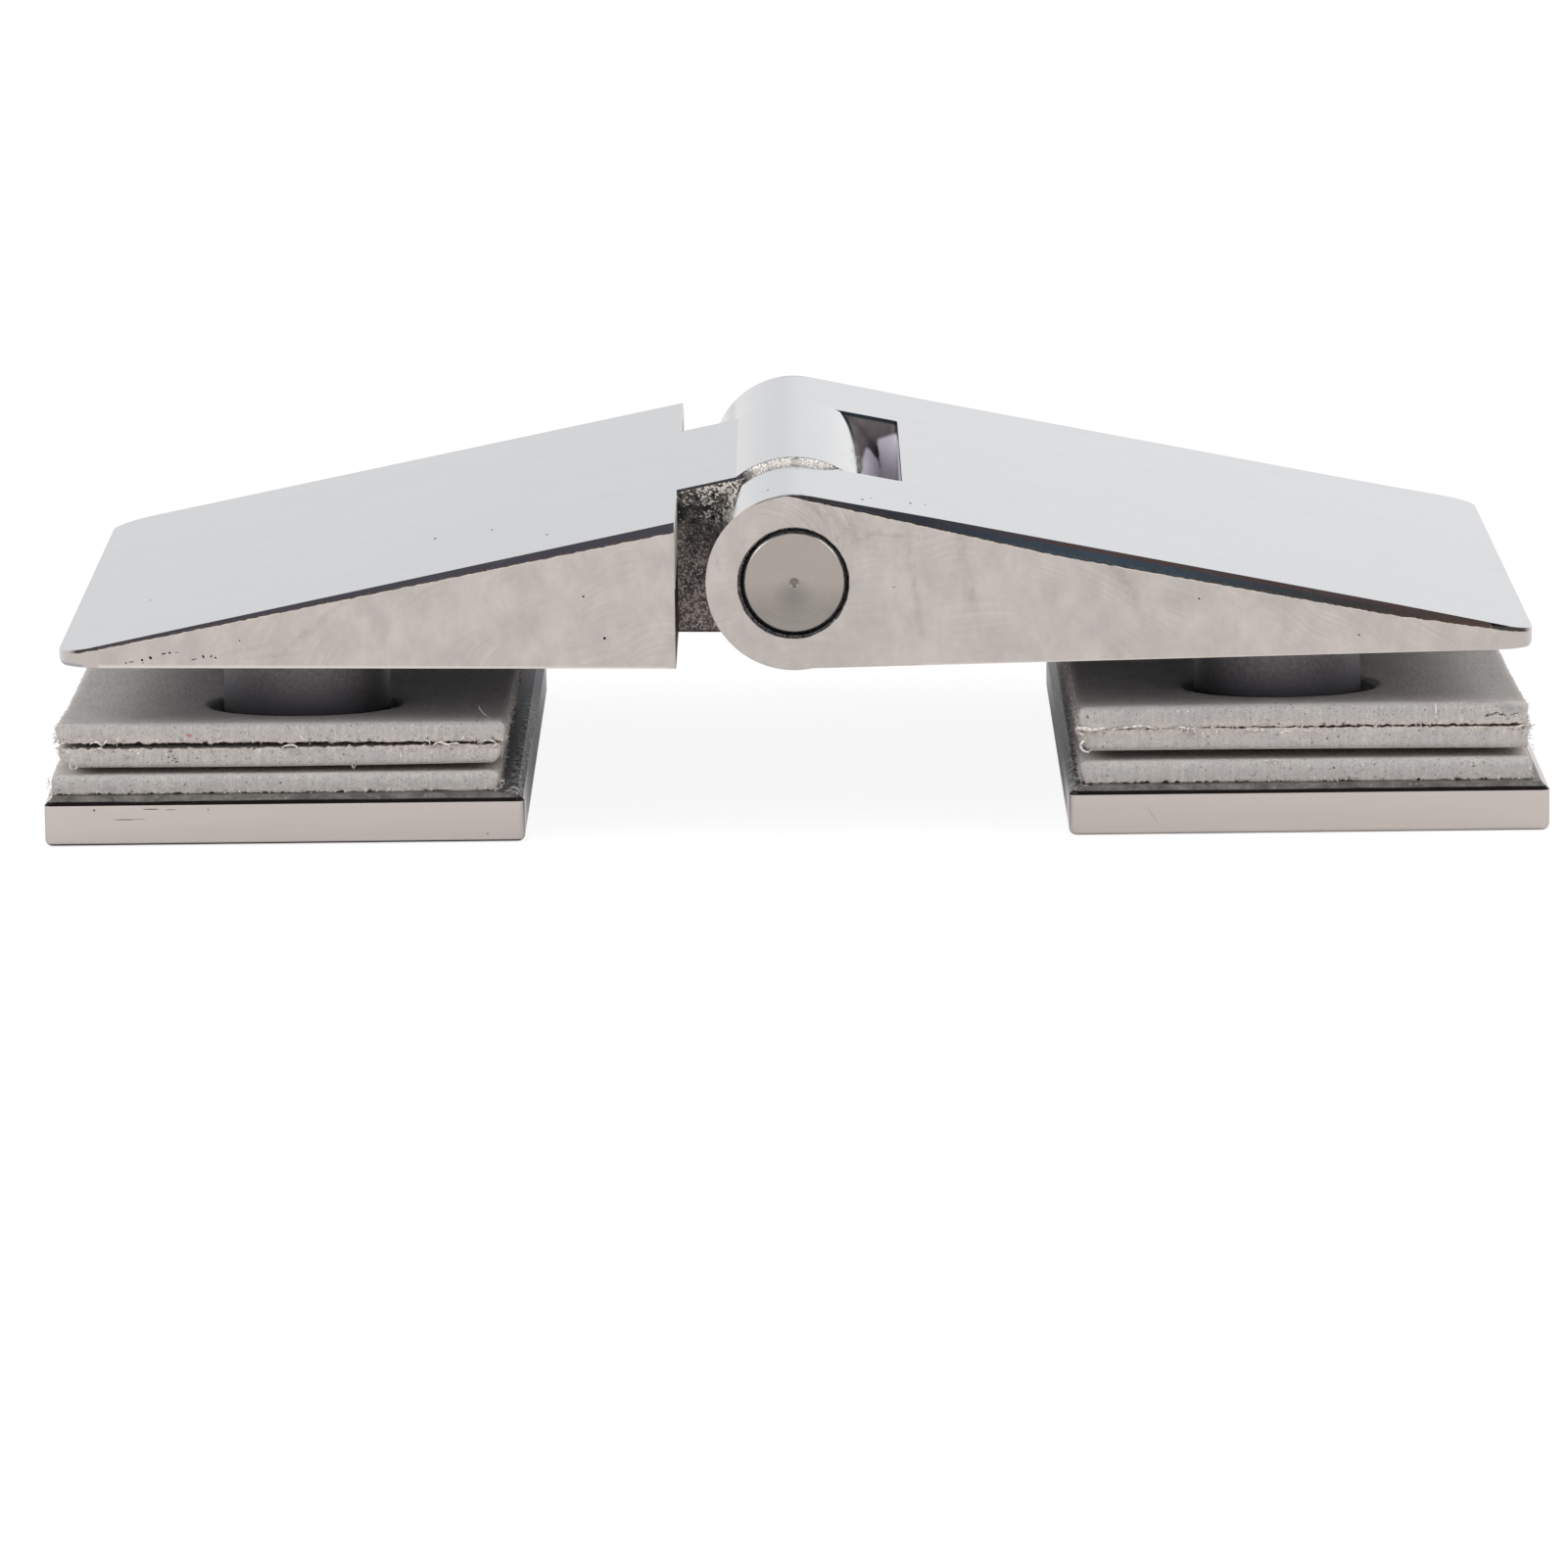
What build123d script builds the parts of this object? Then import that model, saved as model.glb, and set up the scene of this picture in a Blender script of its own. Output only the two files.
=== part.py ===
from build123d import *
import math
import os

os.makedirs("parts", exist_ok=True)

# Sizes are in millimetres. X runs across the two leaves, Y along the pin, Z up.
# The hinge lies open and flat: its two clamp plates rest on z = 0.

# ---- overall sizes ----
hinge_depth = 90.0            # along the pin
leaf_reach = 75.0             # pin axis to leaf tip
axis_height = 26.4            # pin axis above the plates' outer faces
underside_drop = 8.85         # pin axis down to the leaves' glass side, below the pin
tongue_tip_thickness = 1.3
fork_tip_thickness = 1.8
tongue_rise = 0.7             # tongue leaf's glass side rises to its tip, in degrees
fork_rise = 0.95              # fork leaf's glass side rises to its tip, in degrees
half_depth = hinge_depth / 2

# ---- knuckle ----
ear_radius = 9.0              # fork leaf's rounded end
tongue_radius = 9.55          # tongue leaf's rounded end
tongue_plane_offset = 8.5    # pin axis to the tongue leaf's top face
shoulder_x = 12.1             # pin axis to the tongue leaf's shoulders
slot_end_x = 11.2             # pin axis to the end wall of the fork's slot
tongue_width = 44.0
washer_thickness = 0.45
washer_clearance = 0.05       # between a washer and its ear
slot_width = tongue_width + 2 * (washer_thickness + washer_clearance)
slot_corner = 0.8
knuckle_edge_bevel = 0.3      # round the tongue's two end faces
knuckle_bevel_from = -shoulder_x + knuckle_edge_bevel

# ---- pin, bushes and washers ----
pin_diameter = 11.0
pin_end_chamfer = 0.5
pin_centre_mark = 0.5         # radius of the lathe mark in each end
mouth_diameter = 11.4         # shallow relief round the pin ends
mouth_depth = 0.4
running_clearance = 0.05      # radial, pin in bushes and washers
bush_outside = 13.6
washer_outside = 17.6

# ---- leaf edges ----
tongue_plan_corner = 4.5      # leaf tip corners seen from above
fork_plan_corner = 3.5
tongue_tip_lower_round = 0.85
fork_tip_lower_round = 0.7
tip_upper_round = 0.25
tongue_edge_bevel = 0.7
fork_edge_bevel = 0.9
fork_bevel_full_from = 17.0   # the fork's bevels grow to full size here
fork_bevel_run_out = 17.0     # and run out again this far from the tip
least_bevel = 0.05            # where a bevel runs out
bevel_ramp_steps = 5          # sections in which it grows or runs out

# ---- bosses and clamp screws ----
tongue_boss_from_tip = 24.3   # boss centre in from the leaf tip
fork_boss_from_tip = 25.0
tongue_boss_x = leaf_reach - tongue_boss_from_tip
fork_boss_x = leaf_reach - fork_boss_from_tip
boss_from_end = 18.6          # boss centre in from the hinge's front and rear
boss_y = half_depth - boss_from_end
boss_diameter = 17.2
boss_end_z = 8.4
boss_root = 1.0               # boss let into the leaf, so the two are one casting
thread_diameter = 8.0
thread_top_z = 21.0
screw_top_z = 20.0
screw_tip_chamfer = 0.8
head_diameter = 16.0
head_recess = 0.2
plate_hole_diameter = 8.5
countersink_over = 0.5        # the cutter starts this far outside the plate
hex_across_flats = 5.0
hex_depth = 2.8

# ---- clamp plates ----
plate_inner_x = 27.7
plate_overhang = 1.6          # plate out beyond the leaf tip
plate_outer_x = leaf_reach + plate_overhang
plate_thickness = 5.0
plate_corner = 0.8
plate_lower_round = 0.7
plate_upper_bevel = 0.8

# ---- fibre pads ----
pad_end_margin = 2.0          # plate's front and rear to the pad
pad_depth = hinge_depth - 2 * pad_end_margin
tongue_pad_thickness = 2.0
fork_pad_thickness = 2.3
pad_hole_diameter = 19.8
tongue_middle_cup = 0.65      # how far a pad's long edges curl up
tongue_upper_cup = 1.2
fork_middle_cup = 0.8
fork_upper_cup = 1.0

# The pads lie loose round the bosses, so each is a little off: its inner and outer margin on the plate.
tongue_pad_margins = ((2.6, 0.6), (2.3, 1.4), (1.9, 1.1))
fork_pad_margins = ((1.3, 1.6), (1.2, 1.7), (1.1, 2.0))


def underside_height(rise_degrees, distance):
    """Height above the floor of a leaf's glass side at a distance from the pin axis."""
    return axis_height - underside_drop + distance * math.tan(math.radians(rise_degrees))


def top_slope(offset, rise_degrees, tip_thickness):
    """Slope of a top face that passes at offset from the pin axis and ends at the tip."""
    tip_height = underside_height(rise_degrees, leaf_reach) + tip_thickness - axis_height
    return math.asin(offset / math.hypot(leaf_reach, tip_height)) - math.atan2(tip_height, leaf_reach)


tongue_slope = top_slope(tongue_plane_offset, tongue_rise, tongue_tip_thickness)
fork_slope = top_slope(ear_radius, fork_rise, fork_tip_thickness)


def tongue_top(distance):
    """Height of the tongue leaf's top face at a distance from the pin axis."""
    return axis_height + tongue_plane_offset / math.cos(tongue_slope) - distance * math.tan(tongue_slope)


def fork_top(distance):
    """Height of the fork leaf's top face, which is tangent to its ears."""
    return axis_height + ear_radius / math.cos(fork_slope) - distance * math.tan(fork_slope)


def tongue_underside(distance):
    """Height of the tongue leaf's glass side at a distance from the pin axis."""
    return underside_height(tongue_rise, distance)


def fork_underside(distance):
    """Height of the fork leaf's glass side at a distance from the pin axis."""
    return underside_height(fork_rise, distance)


def bevel_corner(edge_y, edge_z, size):
    """Triangle, in Y and Z, that takes a 45 degree bevel off a long top edge."""
    over = 1.0
    outward = 1 if edge_y > 0 else -1
    return [
        (edge_y + outward * over, edge_z - size - over),
        (edge_y - outward * (size + over), edge_z + over),
        (edge_y + outward * over, edge_z + over),
    ]


def bevel_top_edges(side, top, stations):
    """Cut both long top edges of the open part; stations are (distance, size)."""
    for edge_y in (-half_depth, half_depth):
        sections = []
        for distance, size in stations:
            across = Plane(origin=(side * distance, 0, 0), x_dir=(0, 1, 0), z_dir=(1, 0, 0))
            with BuildSketch(across) as section:
                with BuildLine():
                    corner = bevel_corner(edge_y, top(distance), size)
                    Polyline(*corner, close=True)
                make_face()
            sections.append(section.sketch.faces()[0])
        loft(sections, ruled=True, mode=Mode.SUBTRACT)


def round_leaf_tip(side, plan_corner):
    """Round the tip corners of the open part as seen from above."""
    with BuildSketch(Plane.XY) as plan:
        with Locations((side * (leaf_reach - 60), 0)):
            Rectangle(120, hinge_depth)
        tip_corners = plan.vertices().filter_by(lambda v: v.X * side > 0)
        fillet(tip_corners, radius=plan_corner)
    extrude(plan.sketch, amount=axis_height * 2, mode=Mode.INTERSECT)


def ramp_stations(start, end, full_size):
    """Stations from start, where the bevel is least, to end, where it is full, on a smooth curve."""
    stations = []
    for step in range(bevel_ramp_steps + 1):
        share = step / bevel_ramp_steps
        smooth = share * share * (3 - 2 * share)
        stations.append((start + (end - start) * share, least_bevel + (full_size - least_bevel) * smooth))
    return stations


def screw_plane(boss_x, spot_y, rise_degrees):
    """Plane on the floor under a boss, square to the leaf's glass side; boss_x has its side's sign."""
    rise = math.radians(rise_degrees)
    upright = (-math.copysign(math.sin(rise), boss_x), 0, math.cos(rise))
    return Plane(origin=(boss_x, spot_y, 0), x_dir=(0, 1, 0), z_dir=upright)


def add_bosses(boss_x, rise_degrees):
    """Two round bosses under a leaf, each with a tapped hole from below."""
    for spot_y in (-boss_y, boss_y):
        boss_foot = screw_plane(boss_x, spot_y, rise_degrees).offset(boss_end_z)
        with BuildSketch(boss_foot) as boss:
            Circle(boss_diameter / 2)
        extrude(boss.sketch, amount=underside_height(rise_degrees, abs(boss_x)) - boss_end_z + boss_root)
        with BuildSketch(boss_foot) as thread:
            Circle(thread_diameter / 2)
        extrude(thread.sketch, amount=thread_top_z - boss_end_z, mode=Mode.SUBTRACT)


# ---- tongue leaf: one casting with a single wide knuckle in the middle ----
with BuildPart() as tongue_leaf:
    with BuildSketch(Plane.XZ) as tongue_side:
        with BuildLine():
            Polyline(
                (-leaf_reach, tongue_underside(leaf_reach)),
                (-leaf_reach, tongue_top(leaf_reach)),
                (-shoulder_x, tongue_top(shoulder_x)),
                (-shoulder_x, tongue_underside(shoulder_x)),
                close=True,
            )
        make_face()
        tip = tongue_side.vertices().sort_by(Axis.X)[0:2].sort_by(Axis.Y)
        fillet(tip[0], radius=tongue_tip_lower_round)
        fillet(tip[1], radius=tip_upper_round)
    extrude(amount=half_depth, both=True)
    round_leaf_tip(-1, tongue_plan_corner)
    bevel_top_edges(-1, tongue_top, [
        (leaf_reach + 1, least_bevel),
        (shoulder_x - 1, tongue_edge_bevel),
    ])
    with BuildSketch(Plane.XZ):
        with BuildLine():
            Polyline(
                (-shoulder_x - 4, tongue_underside(shoulder_x + 4)),
                (-shoulder_x - 4, tongue_top(shoulder_x + 4)),
                (0, tongue_top(0)),
                (0, tongue_underside(0)),
                close=True,
            )
        make_face()
        with Locations((0, axis_height)):
            Circle(tongue_radius)
    extrude(amount=tongue_width / 2, both=True)
    knuckle_edges = [
        edge for edge in tongue_leaf.edges()
        if edge.center().X > knuckle_bevel_from
        and abs(abs(edge.center().Y) - tongue_width / 2) < least_bevel
        and edge.bounding_box().size.Y < least_bevel
    ]
    chamfer(knuckle_edges, length=knuckle_edge_bevel)
    add_bosses(-tongue_boss_x, tongue_rise)
    with BuildSketch(Plane.XZ):
        with Locations((0, axis_height)):
            Circle(bush_outside / 2)
    extrude(amount=half_depth, both=True, mode=Mode.SUBTRACT)
tongue_leaf.part.label = "tongue_leaf"
export_step(tongue_leaf.part, "parts/tongue_leaf.step")


# ---- fork leaf: two ears with a slot between them ----
with BuildPart() as fork_leaf:
    tangent_x = ear_radius * math.sin(fork_slope)
    with BuildSketch(Plane.XZ) as fork_side:
        with BuildLine():
            Polyline(
                (leaf_reach, fork_underside(leaf_reach)),
                (leaf_reach, fork_top(leaf_reach)),
                (tangent_x, fork_top(tangent_x)),
                (0, axis_height),
                (0, fork_underside(0)),
                close=True,
            )
        make_face()
        tip = fork_side.vertices().sort_by(Axis.X)[-2:].sort_by(Axis.Y)
        fillet(tip[0], radius=fork_tip_lower_round)
        fillet(tip[1], radius=tip_upper_round)
        with Locations((0, axis_height)):
            Circle(ear_radius)
    extrude(amount=half_depth, both=True)
    round_leaf_tip(1, fork_plan_corner)
    bevel_start = ramp_stations(tangent_x, fork_bevel_full_from, fork_edge_bevel)
    bevel_end = ramp_stations(leaf_reach + 1, leaf_reach - fork_bevel_run_out, fork_edge_bevel)
    bevel_top_edges(1, fork_top, bevel_start + bevel_end[::-1])
    with BuildSketch(Plane.XY) as slot:
        with Locations((slot_end_x - 30, 0)):
            Rectangle(60, slot_width)
        fillet(slot.vertices().filter_by(lambda v: v.X > 0), radius=slot_corner)
    extrude(amount=axis_height * 2, mode=Mode.SUBTRACT)
    add_bosses(fork_boss_x, fork_rise)
    with BuildSketch(Plane.XZ):
        with Locations((0, axis_height)):
            Circle(pin_diameter / 2)
    extrude(amount=half_depth, both=True, mode=Mode.SUBTRACT)
    for face_y in (-half_depth, half_depth - mouth_depth):
        with BuildSketch(Plane.XZ.offset(-face_y)):
            with Locations((0, axis_height)):
                Circle(mouth_diameter / 2)
        extrude(amount=-mouth_depth, mode=Mode.SUBTRACT)
fork_leaf.part.label = "fork_leaf"
export_step(fork_leaf.part, "parts/fork_leaf.step")


# ---- hinge pin: pressed into the ears, its ends flush with their faces ----
with BuildPart() as hinge_pin:
    with BuildSketch(Plane.XZ):
        with Locations((0, axis_height)):
            Circle(pin_diameter / 2)
    extrude(amount=half_depth, both=True)
    end_edges = hinge_pin.edges().filter_by(GeomType.CIRCLE)
    chamfer(end_edges, length=pin_end_chamfer)
    for end_y, outward in ((-half_depth, 1), (half_depth, -1)):
        end_plane = Plane(origin=(0, end_y, axis_height), x_dir=(1, 0, 0), z_dir=(0, outward, 0))
        with BuildSketch(end_plane):
            Circle(pin_centre_mark)
        extrude(amount=pin_centre_mark, taper=45 * 0.9, mode=Mode.SUBTRACT)
hinge_pin.part.label = "hinge_pin"
export_step(hinge_pin.part, "parts/hinge_pin.step")


# ---- bushes: pressed into the tongue, the pin turns in them ----
for place, start_y in (("front", -tongue_width / 2), ("rear", 0)):
    with BuildPart() as bush:
        with BuildSketch(Plane.XZ.offset(-start_y)):
            with Locations((0, axis_height)):
                Circle(bush_outside / 2)
                Circle(pin_diameter / 2 + running_clearance, mode=Mode.SUBTRACT)
        extrude(amount=-tongue_width / 2)
    bush.part.label = place + "_bush"
    export_step(bush.part, "parts/" + place + "_bush.step")


# ---- thrust washers: thin rings between the tongue and the ears ----
for place, start_y in (("front", -tongue_width / 2 - washer_thickness), ("rear", tongue_width / 2)):
    with BuildPart() as washer:
        with BuildSketch(Plane.XZ.offset(-start_y)):
            with Locations((0, axis_height)):
                Circle(washer_outside / 2)
                Circle(pin_diameter / 2 + running_clearance, mode=Mode.SUBTRACT)
        extrude(amount=-washer_thickness)
    washer.part.label = place + "_thrust_washer"
    export_step(washer.part, "parts/" + place + "_thrust_washer.step")


# ---- clamp plates: press the pads and the glass against the leaves ----
for leaf, side, boss_x, rise in (
    ("tongue", -1, -tongue_boss_x, tongue_rise),
    ("fork", 1, fork_boss_x, fork_rise),
):
    with BuildPart() as plate:
        plate_middle = side * (plate_inner_x + plate_outer_x) / 2
        with BuildSketch(Plane.XY):
            with Locations((plate_middle, 0)):
                RectangleRounded(plate_outer_x - plate_inner_x, hinge_depth, plate_corner)
        extrude(amount=plate_thickness)
        fillet(plate.faces().sort_by(Axis.Z)[0].edges(), radius=plate_lower_round)
        chamfer(plate.faces().sort_by(Axis.Z)[-1].edges(), length=plate_upper_bevel)
        for spot_y in (-boss_y, boss_y):
            mouth_radius = head_diameter / 2 + head_recess + countersink_over
            with Locations(screw_plane(boss_x, spot_y, rise).offset(-countersink_over).location):
                Cylinder(
                    plate_hole_diameter / 2,
                    plate_thickness + 2 * countersink_over,
                    align=(Align.CENTER, Align.CENTER, Align.MIN),
                    mode=Mode.SUBTRACT,
                )
                Cone(
                    mouth_radius,
                    plate_hole_diameter / 2,
                    mouth_radius - plate_hole_diameter / 2,
                    align=(Align.CENTER, Align.CENTER, Align.MIN),
                    mode=Mode.SUBTRACT,
                )
    plate.part.label = leaf + "_clamp_plate"
    export_step(plate.part, "parts/" + leaf + "_clamp_plate.step")


# ---- clamp screws: countersunk, hexagon socket, one for each boss ----
def screw_outline():
    """Half section of a screw, as radius and height."""
    head_depth = (head_diameter - thread_diameter) / 2
    return [
        (0, head_recess),
        (head_diameter / 2, head_recess),
        (thread_diameter / 2, head_recess + head_depth),
        (thread_diameter / 2, screw_top_z - screw_tip_chamfer),
        (thread_diameter / 2 - screw_tip_chamfer, screw_top_z),
        (0, screw_top_z),
    ]


for leaf, boss_x, rise in (("tongue", -tongue_boss_x, tongue_rise), ("fork", fork_boss_x, fork_rise)):
    for place, spot_y in (("front", -boss_y), ("rear", boss_y)):
        with BuildPart() as screw:
            with BuildSketch(Plane.XZ):
                with BuildLine():
                    Polyline(*screw_outline(), close=True)
                make_face()
            revolve(axis=Axis.Z)
            with BuildSketch(Plane.XY.offset(head_recess)):
                RegularPolygon(hex_across_flats / 2, 6, major_radius=False)
            extrude(amount=hex_depth, mode=Mode.SUBTRACT)
        screw_part = screw_plane(boss_x, spot_y, rise).location * screw.part
        screw_part.label = leaf + "_" + place + "_clamp_screw"
        export_step(screw_part, "parts/" + screw_part.label + ".step")


# ---- fibre pads: three on each plate, the upper two a little cupped ----
def pad_outline(low_z, cup):
    """Three points along a pad's face, in Y and Z; its long edges curl up by cup."""
    return [
        (-pad_depth / 2, low_z + cup),
        (0, low_z),
        (pad_depth / 2, low_z + cup),
    ]


tongue_cups = (0.0, tongue_middle_cup, tongue_upper_cup)
fork_cups = (0.0, fork_middle_cup, fork_upper_cup)
pad_stacks = (
    ("tongue", -1, -tongue_boss_x, tongue_pad_thickness, tongue_cups, tongue_pad_margins),
    ("fork", 1, fork_boss_x, fork_pad_thickness, fork_cups, fork_pad_margins),
)
for leaf, side, boss_x, pad_thickness, cups, margins in pad_stacks:
    for layer, (level, cup, margin) in enumerate(zip(("lower", "middle", "upper"), cups, margins)):
        low_z = plate_thickness + layer * pad_thickness
        pad_inner_x = plate_inner_x + margin[0]
        pad_outer_x = plate_outer_x - margin[1]
        start_x = min(side * pad_inner_x, side * pad_outer_x)
        with BuildPart() as pad:
            with BuildSketch(Plane(origin=(start_x, 0, 0), x_dir=(0, 1, 0), z_dir=(1, 0, 0))):
                with BuildLine():
                    lower_face = pad_outline(low_z, cup)
                    upper_face = pad_outline(low_z + pad_thickness, cup)
                    if cup > 0:
                        ThreePointArc(*lower_face)
                        ThreePointArc(*upper_face)
                    else:
                        Line(lower_face[0], lower_face[2])
                        Line(upper_face[0], upper_face[2])
                    Line(lower_face[0], upper_face[0])
                    Line(lower_face[2], upper_face[2])
                make_face()
            extrude(amount=pad_outer_x - pad_inner_x)
            with Locations((boss_x, -boss_y, low_z), (boss_x, boss_y, low_z)):
                Cylinder(pad_hole_diameter / 2, 20, mode=Mode.SUBTRACT)
        pad.part.label = leaf + "_" + level + "_fibre_pad"
        export_step(pad.part, "parts/" + pad.part.label + ".step")
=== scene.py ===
# %% [markdown]
# # A glass door hinge, dressed for its portrait
# The hinge is a short steel knuckle between two wedge-shaped leaves. Each leaf clamps a glass
# panel: fibre pads lie between the glass and a bevelled clamp plate. The solids come from the
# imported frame, so this lesson is about finish: polished, turned and rough cast steel, and board.

# %% Load the frame
import math
import bpy
import bmesh
from mathutils import Matrix, Vector, noise
from mathutils.geometry import delaunay_2d_cdt


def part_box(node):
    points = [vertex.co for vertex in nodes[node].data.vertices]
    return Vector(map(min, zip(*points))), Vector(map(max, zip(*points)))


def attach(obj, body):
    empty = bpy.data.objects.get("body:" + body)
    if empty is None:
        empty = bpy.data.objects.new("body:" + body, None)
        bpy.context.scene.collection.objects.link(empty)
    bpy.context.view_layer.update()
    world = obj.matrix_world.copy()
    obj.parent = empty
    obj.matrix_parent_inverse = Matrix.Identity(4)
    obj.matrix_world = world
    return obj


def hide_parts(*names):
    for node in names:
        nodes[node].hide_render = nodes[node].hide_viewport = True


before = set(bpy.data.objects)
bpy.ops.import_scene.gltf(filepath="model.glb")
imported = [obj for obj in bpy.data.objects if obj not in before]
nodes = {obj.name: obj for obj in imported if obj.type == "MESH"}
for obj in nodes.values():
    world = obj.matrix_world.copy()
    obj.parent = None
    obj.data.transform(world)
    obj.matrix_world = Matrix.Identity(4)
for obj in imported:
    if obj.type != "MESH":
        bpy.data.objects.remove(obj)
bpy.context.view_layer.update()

# %% [markdown]
# ## Words for node trees
# A finish is a graph of small nodes, which is long to write and hard to read. The helpers below
# give each kind of node a plain word. They all add to one tree, the one being written, so a
# finish reads like a recipe: over and under are soft limits, both_of and either_of join masks,
# and a coat is a colour that lies where its mask is 1.

# %% One node at a time
tree = None     # the node tree being written


def set_inputs(node, inputs):
    """Gives a node its inputs: a socket is linked, anything else is a plain value."""
    for key, value in inputs.items():
        if isinstance(value, bpy.types.NodeSocket):
            tree.links.new(value, node.inputs[key])
        else:
            node.inputs[key].default_value = value


def add_node(kind, inputs=None, **settings):
    """One node, with its settings and inputs. A short kind is a shader node's."""
    node = tree.nodes.new(kind if "Node" in kind else "ShaderNode" + kind)
    for key, value in settings.items():
        setattr(node, key, value)
    set_inputs(node, inputs or {})
    return node


def new_material(name):
    """An empty node material and its shader. Its tree is the one being written from now on."""
    global tree
    material = bpy.data.materials.new(name)
    material.use_nodes = True
    tree = material.node_tree
    tree.nodes.clear()
    shader = add_node("BsdfPrincipled")
    add_node("OutputMaterial", {"Surface": shader.outputs["BSDF"]})
    return material, shader


# %% Numbers and masks
def maths(operation, a, b=0.0, c=0.0):
    """A Math node's result."""
    return add_node("Math", {0: a, 1: b, 2: c}, operation=operation).outputs[0]


def chain(operation):
    """A helper that joins any number of values with one kind of Math node."""
    def joined(result, *others):
        for other in others:
            result = maths(operation, result, other)
        return result
    return joined


plus, minus, times = chain("ADD"), chain("SUBTRACT"), chain("MULTIPLY")
larger, smaller = chain("MAXIMUM"), chain("MINIMUM")
both_of, either_of = times, larger      # the same for masks, which run from 0 to 1


def contrast(value, low, high, to_low=0.0, to_high=1.0, kind="LINEAR"):
    """Stretches the part of value from low to high over a new range."""
    return add_node("MapRange", {0: value, 1: low, 2: high, 3: to_low, 4: to_high},
                    interpolation_type=kind).outputs[0]


def spread(noise_value, to_low=0.0, to_high=1.0):
    """The same for noise, which is nearly always between 0.3 and 0.7."""
    return contrast(noise_value, 0.3, 0.7, to_low, to_high)


def over(value, limit, soft=0.02):
    """1 where value is over limit, 0 where it is under, and a soft step between."""
    return contrast(value, limit - soft, limit + soft)


def under(value, limit, soft=0.02):
    """1 where value is under limit."""
    return contrast(value, limit - soft, limit + soft, 1.0, 0.0)


def within(value, low, high, soft=0.02, soft_high=None):
    """1 where value is between low and high. The upper step may have a width of its own."""
    return both_of(over(value, low, soft), under(value, high, soft_high or soft))


def above_line(value, base, along, rise):
    """How far value is over the straight line base + rise * along."""
    return minus(value, maths("MULTIPLY_ADD", along, rise, base))


# %% Colours and shaders
def blend_value(factor, a, b):
    """Number a, turning to number b with factor."""
    return add_node("Mix", {0: factor, 2: a, 3: b}, data_type="FLOAT").outputs[0]


def blend(factor, a, b, kind="MIX"):
    """Colour a, turning to colour b with factor."""
    a, b = [(*shade, 1) if isinstance(shade, tuple) else shade for shade in (a, b)]
    return add_node("Mix", {0: factor, 6: a, 7: b}, data_type="RGBA", blend_type=kind).outputs[2]


def coated(colour, *coats):
    """A colour under a row of coats. Each is a mask and the colour laid on where it is 1."""
    for mask, coat in coats:
        colour = blend(mask, colour, coat)
    return colour


def mixed(factor, a, b):
    """Shader a, turning to shader b with factor."""
    return add_node("MixShader", {0: factor, 1: a, 2: b}).outputs[0]


def grey_shader(kind, grey, strength=None):
    """A shader of one grey: a Background, an Emission or a BsdfDiffuse."""
    inputs = {"Color": (grey, grey, grey, 1)}
    if strength is not None:
        inputs["Strength"] = strength
    return add_node(kind, inputs).outputs[0]


# %% [markdown]
# ## The studio
# A polished face has almost no colour of its own. What it shows is the room, so the room is
# decided first: a white backdrop all round, a dark ceiling, and a warm table top.

# %% The camera
AZIMUTH, ELEVATION, ROLL = math.radians(-0.1458), math.radians(10.1152), math.radians(-0.6562)
CAMERA_AT = Vector((0.00118, -1.012099, 0.178224))
ahead = Vector((math.sin(AZIMUTH) * math.cos(ELEVATION), math.cos(AZIMUTH) * math.cos(ELEVATION),
                -math.sin(ELEVATION)))
level_right = Vector((math.cos(AZIMUTH), -math.sin(AZIMUTH), 0))
level_up = level_right.cross(ahead)
right = math.cos(ROLL) * level_right + math.sin(ROLL) * level_up
up = -math.sin(ROLL) * level_right + math.cos(ROLL) * level_up
camera_data = bpy.data.cameras.new("portrait_camera")
camera_data.lens = 221.791
camera_data.sensor_width = 36
camera_data.clip_start = 0.05
camera = bpy.data.objects.new("portrait_camera", camera_data)
bpy.context.scene.collection.objects.link(camera)
turned = Matrix((right, up, -ahead)).transposed().to_4x4()
camera.matrix_world = Matrix.Translation(CAMERA_AT) @ turned
bpy.context.scene.camera = camera
bpy.context.scene.view_settings.view_transform = "Standard"
print("the camera stands", round(CAMERA_AT.length, 3), "m away")


# %% The room
world = bpy.data.worlds.new("studio")
bpy.context.scene.world = world
world.use_nodes = True
tree = world.node_tree
tree.nodes.clear()
way = add_node("SeparateXYZ", {0: add_node("TexCoord").outputs["Generated"]}).outputs
walls = add_node("ValToRGB", {0: way["Z"]})
stops = walls.color_ramp.elements
stops[0].position, stops[0].color = 0.02, (1.0, 1.0, 1.0, 1)
stops[1].position, stops[1].color = 0.17, (0.86, 0.875, 0.90, 1)
for position, shade in ((0.62, (0.95, 0.96, 0.98, 1)), (0.86, (0.5, 0.5, 0.52, 1)),
                        (0.93, (0.03, 0.03, 0.035, 1))):
    stops.new(position).color = shade
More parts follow.
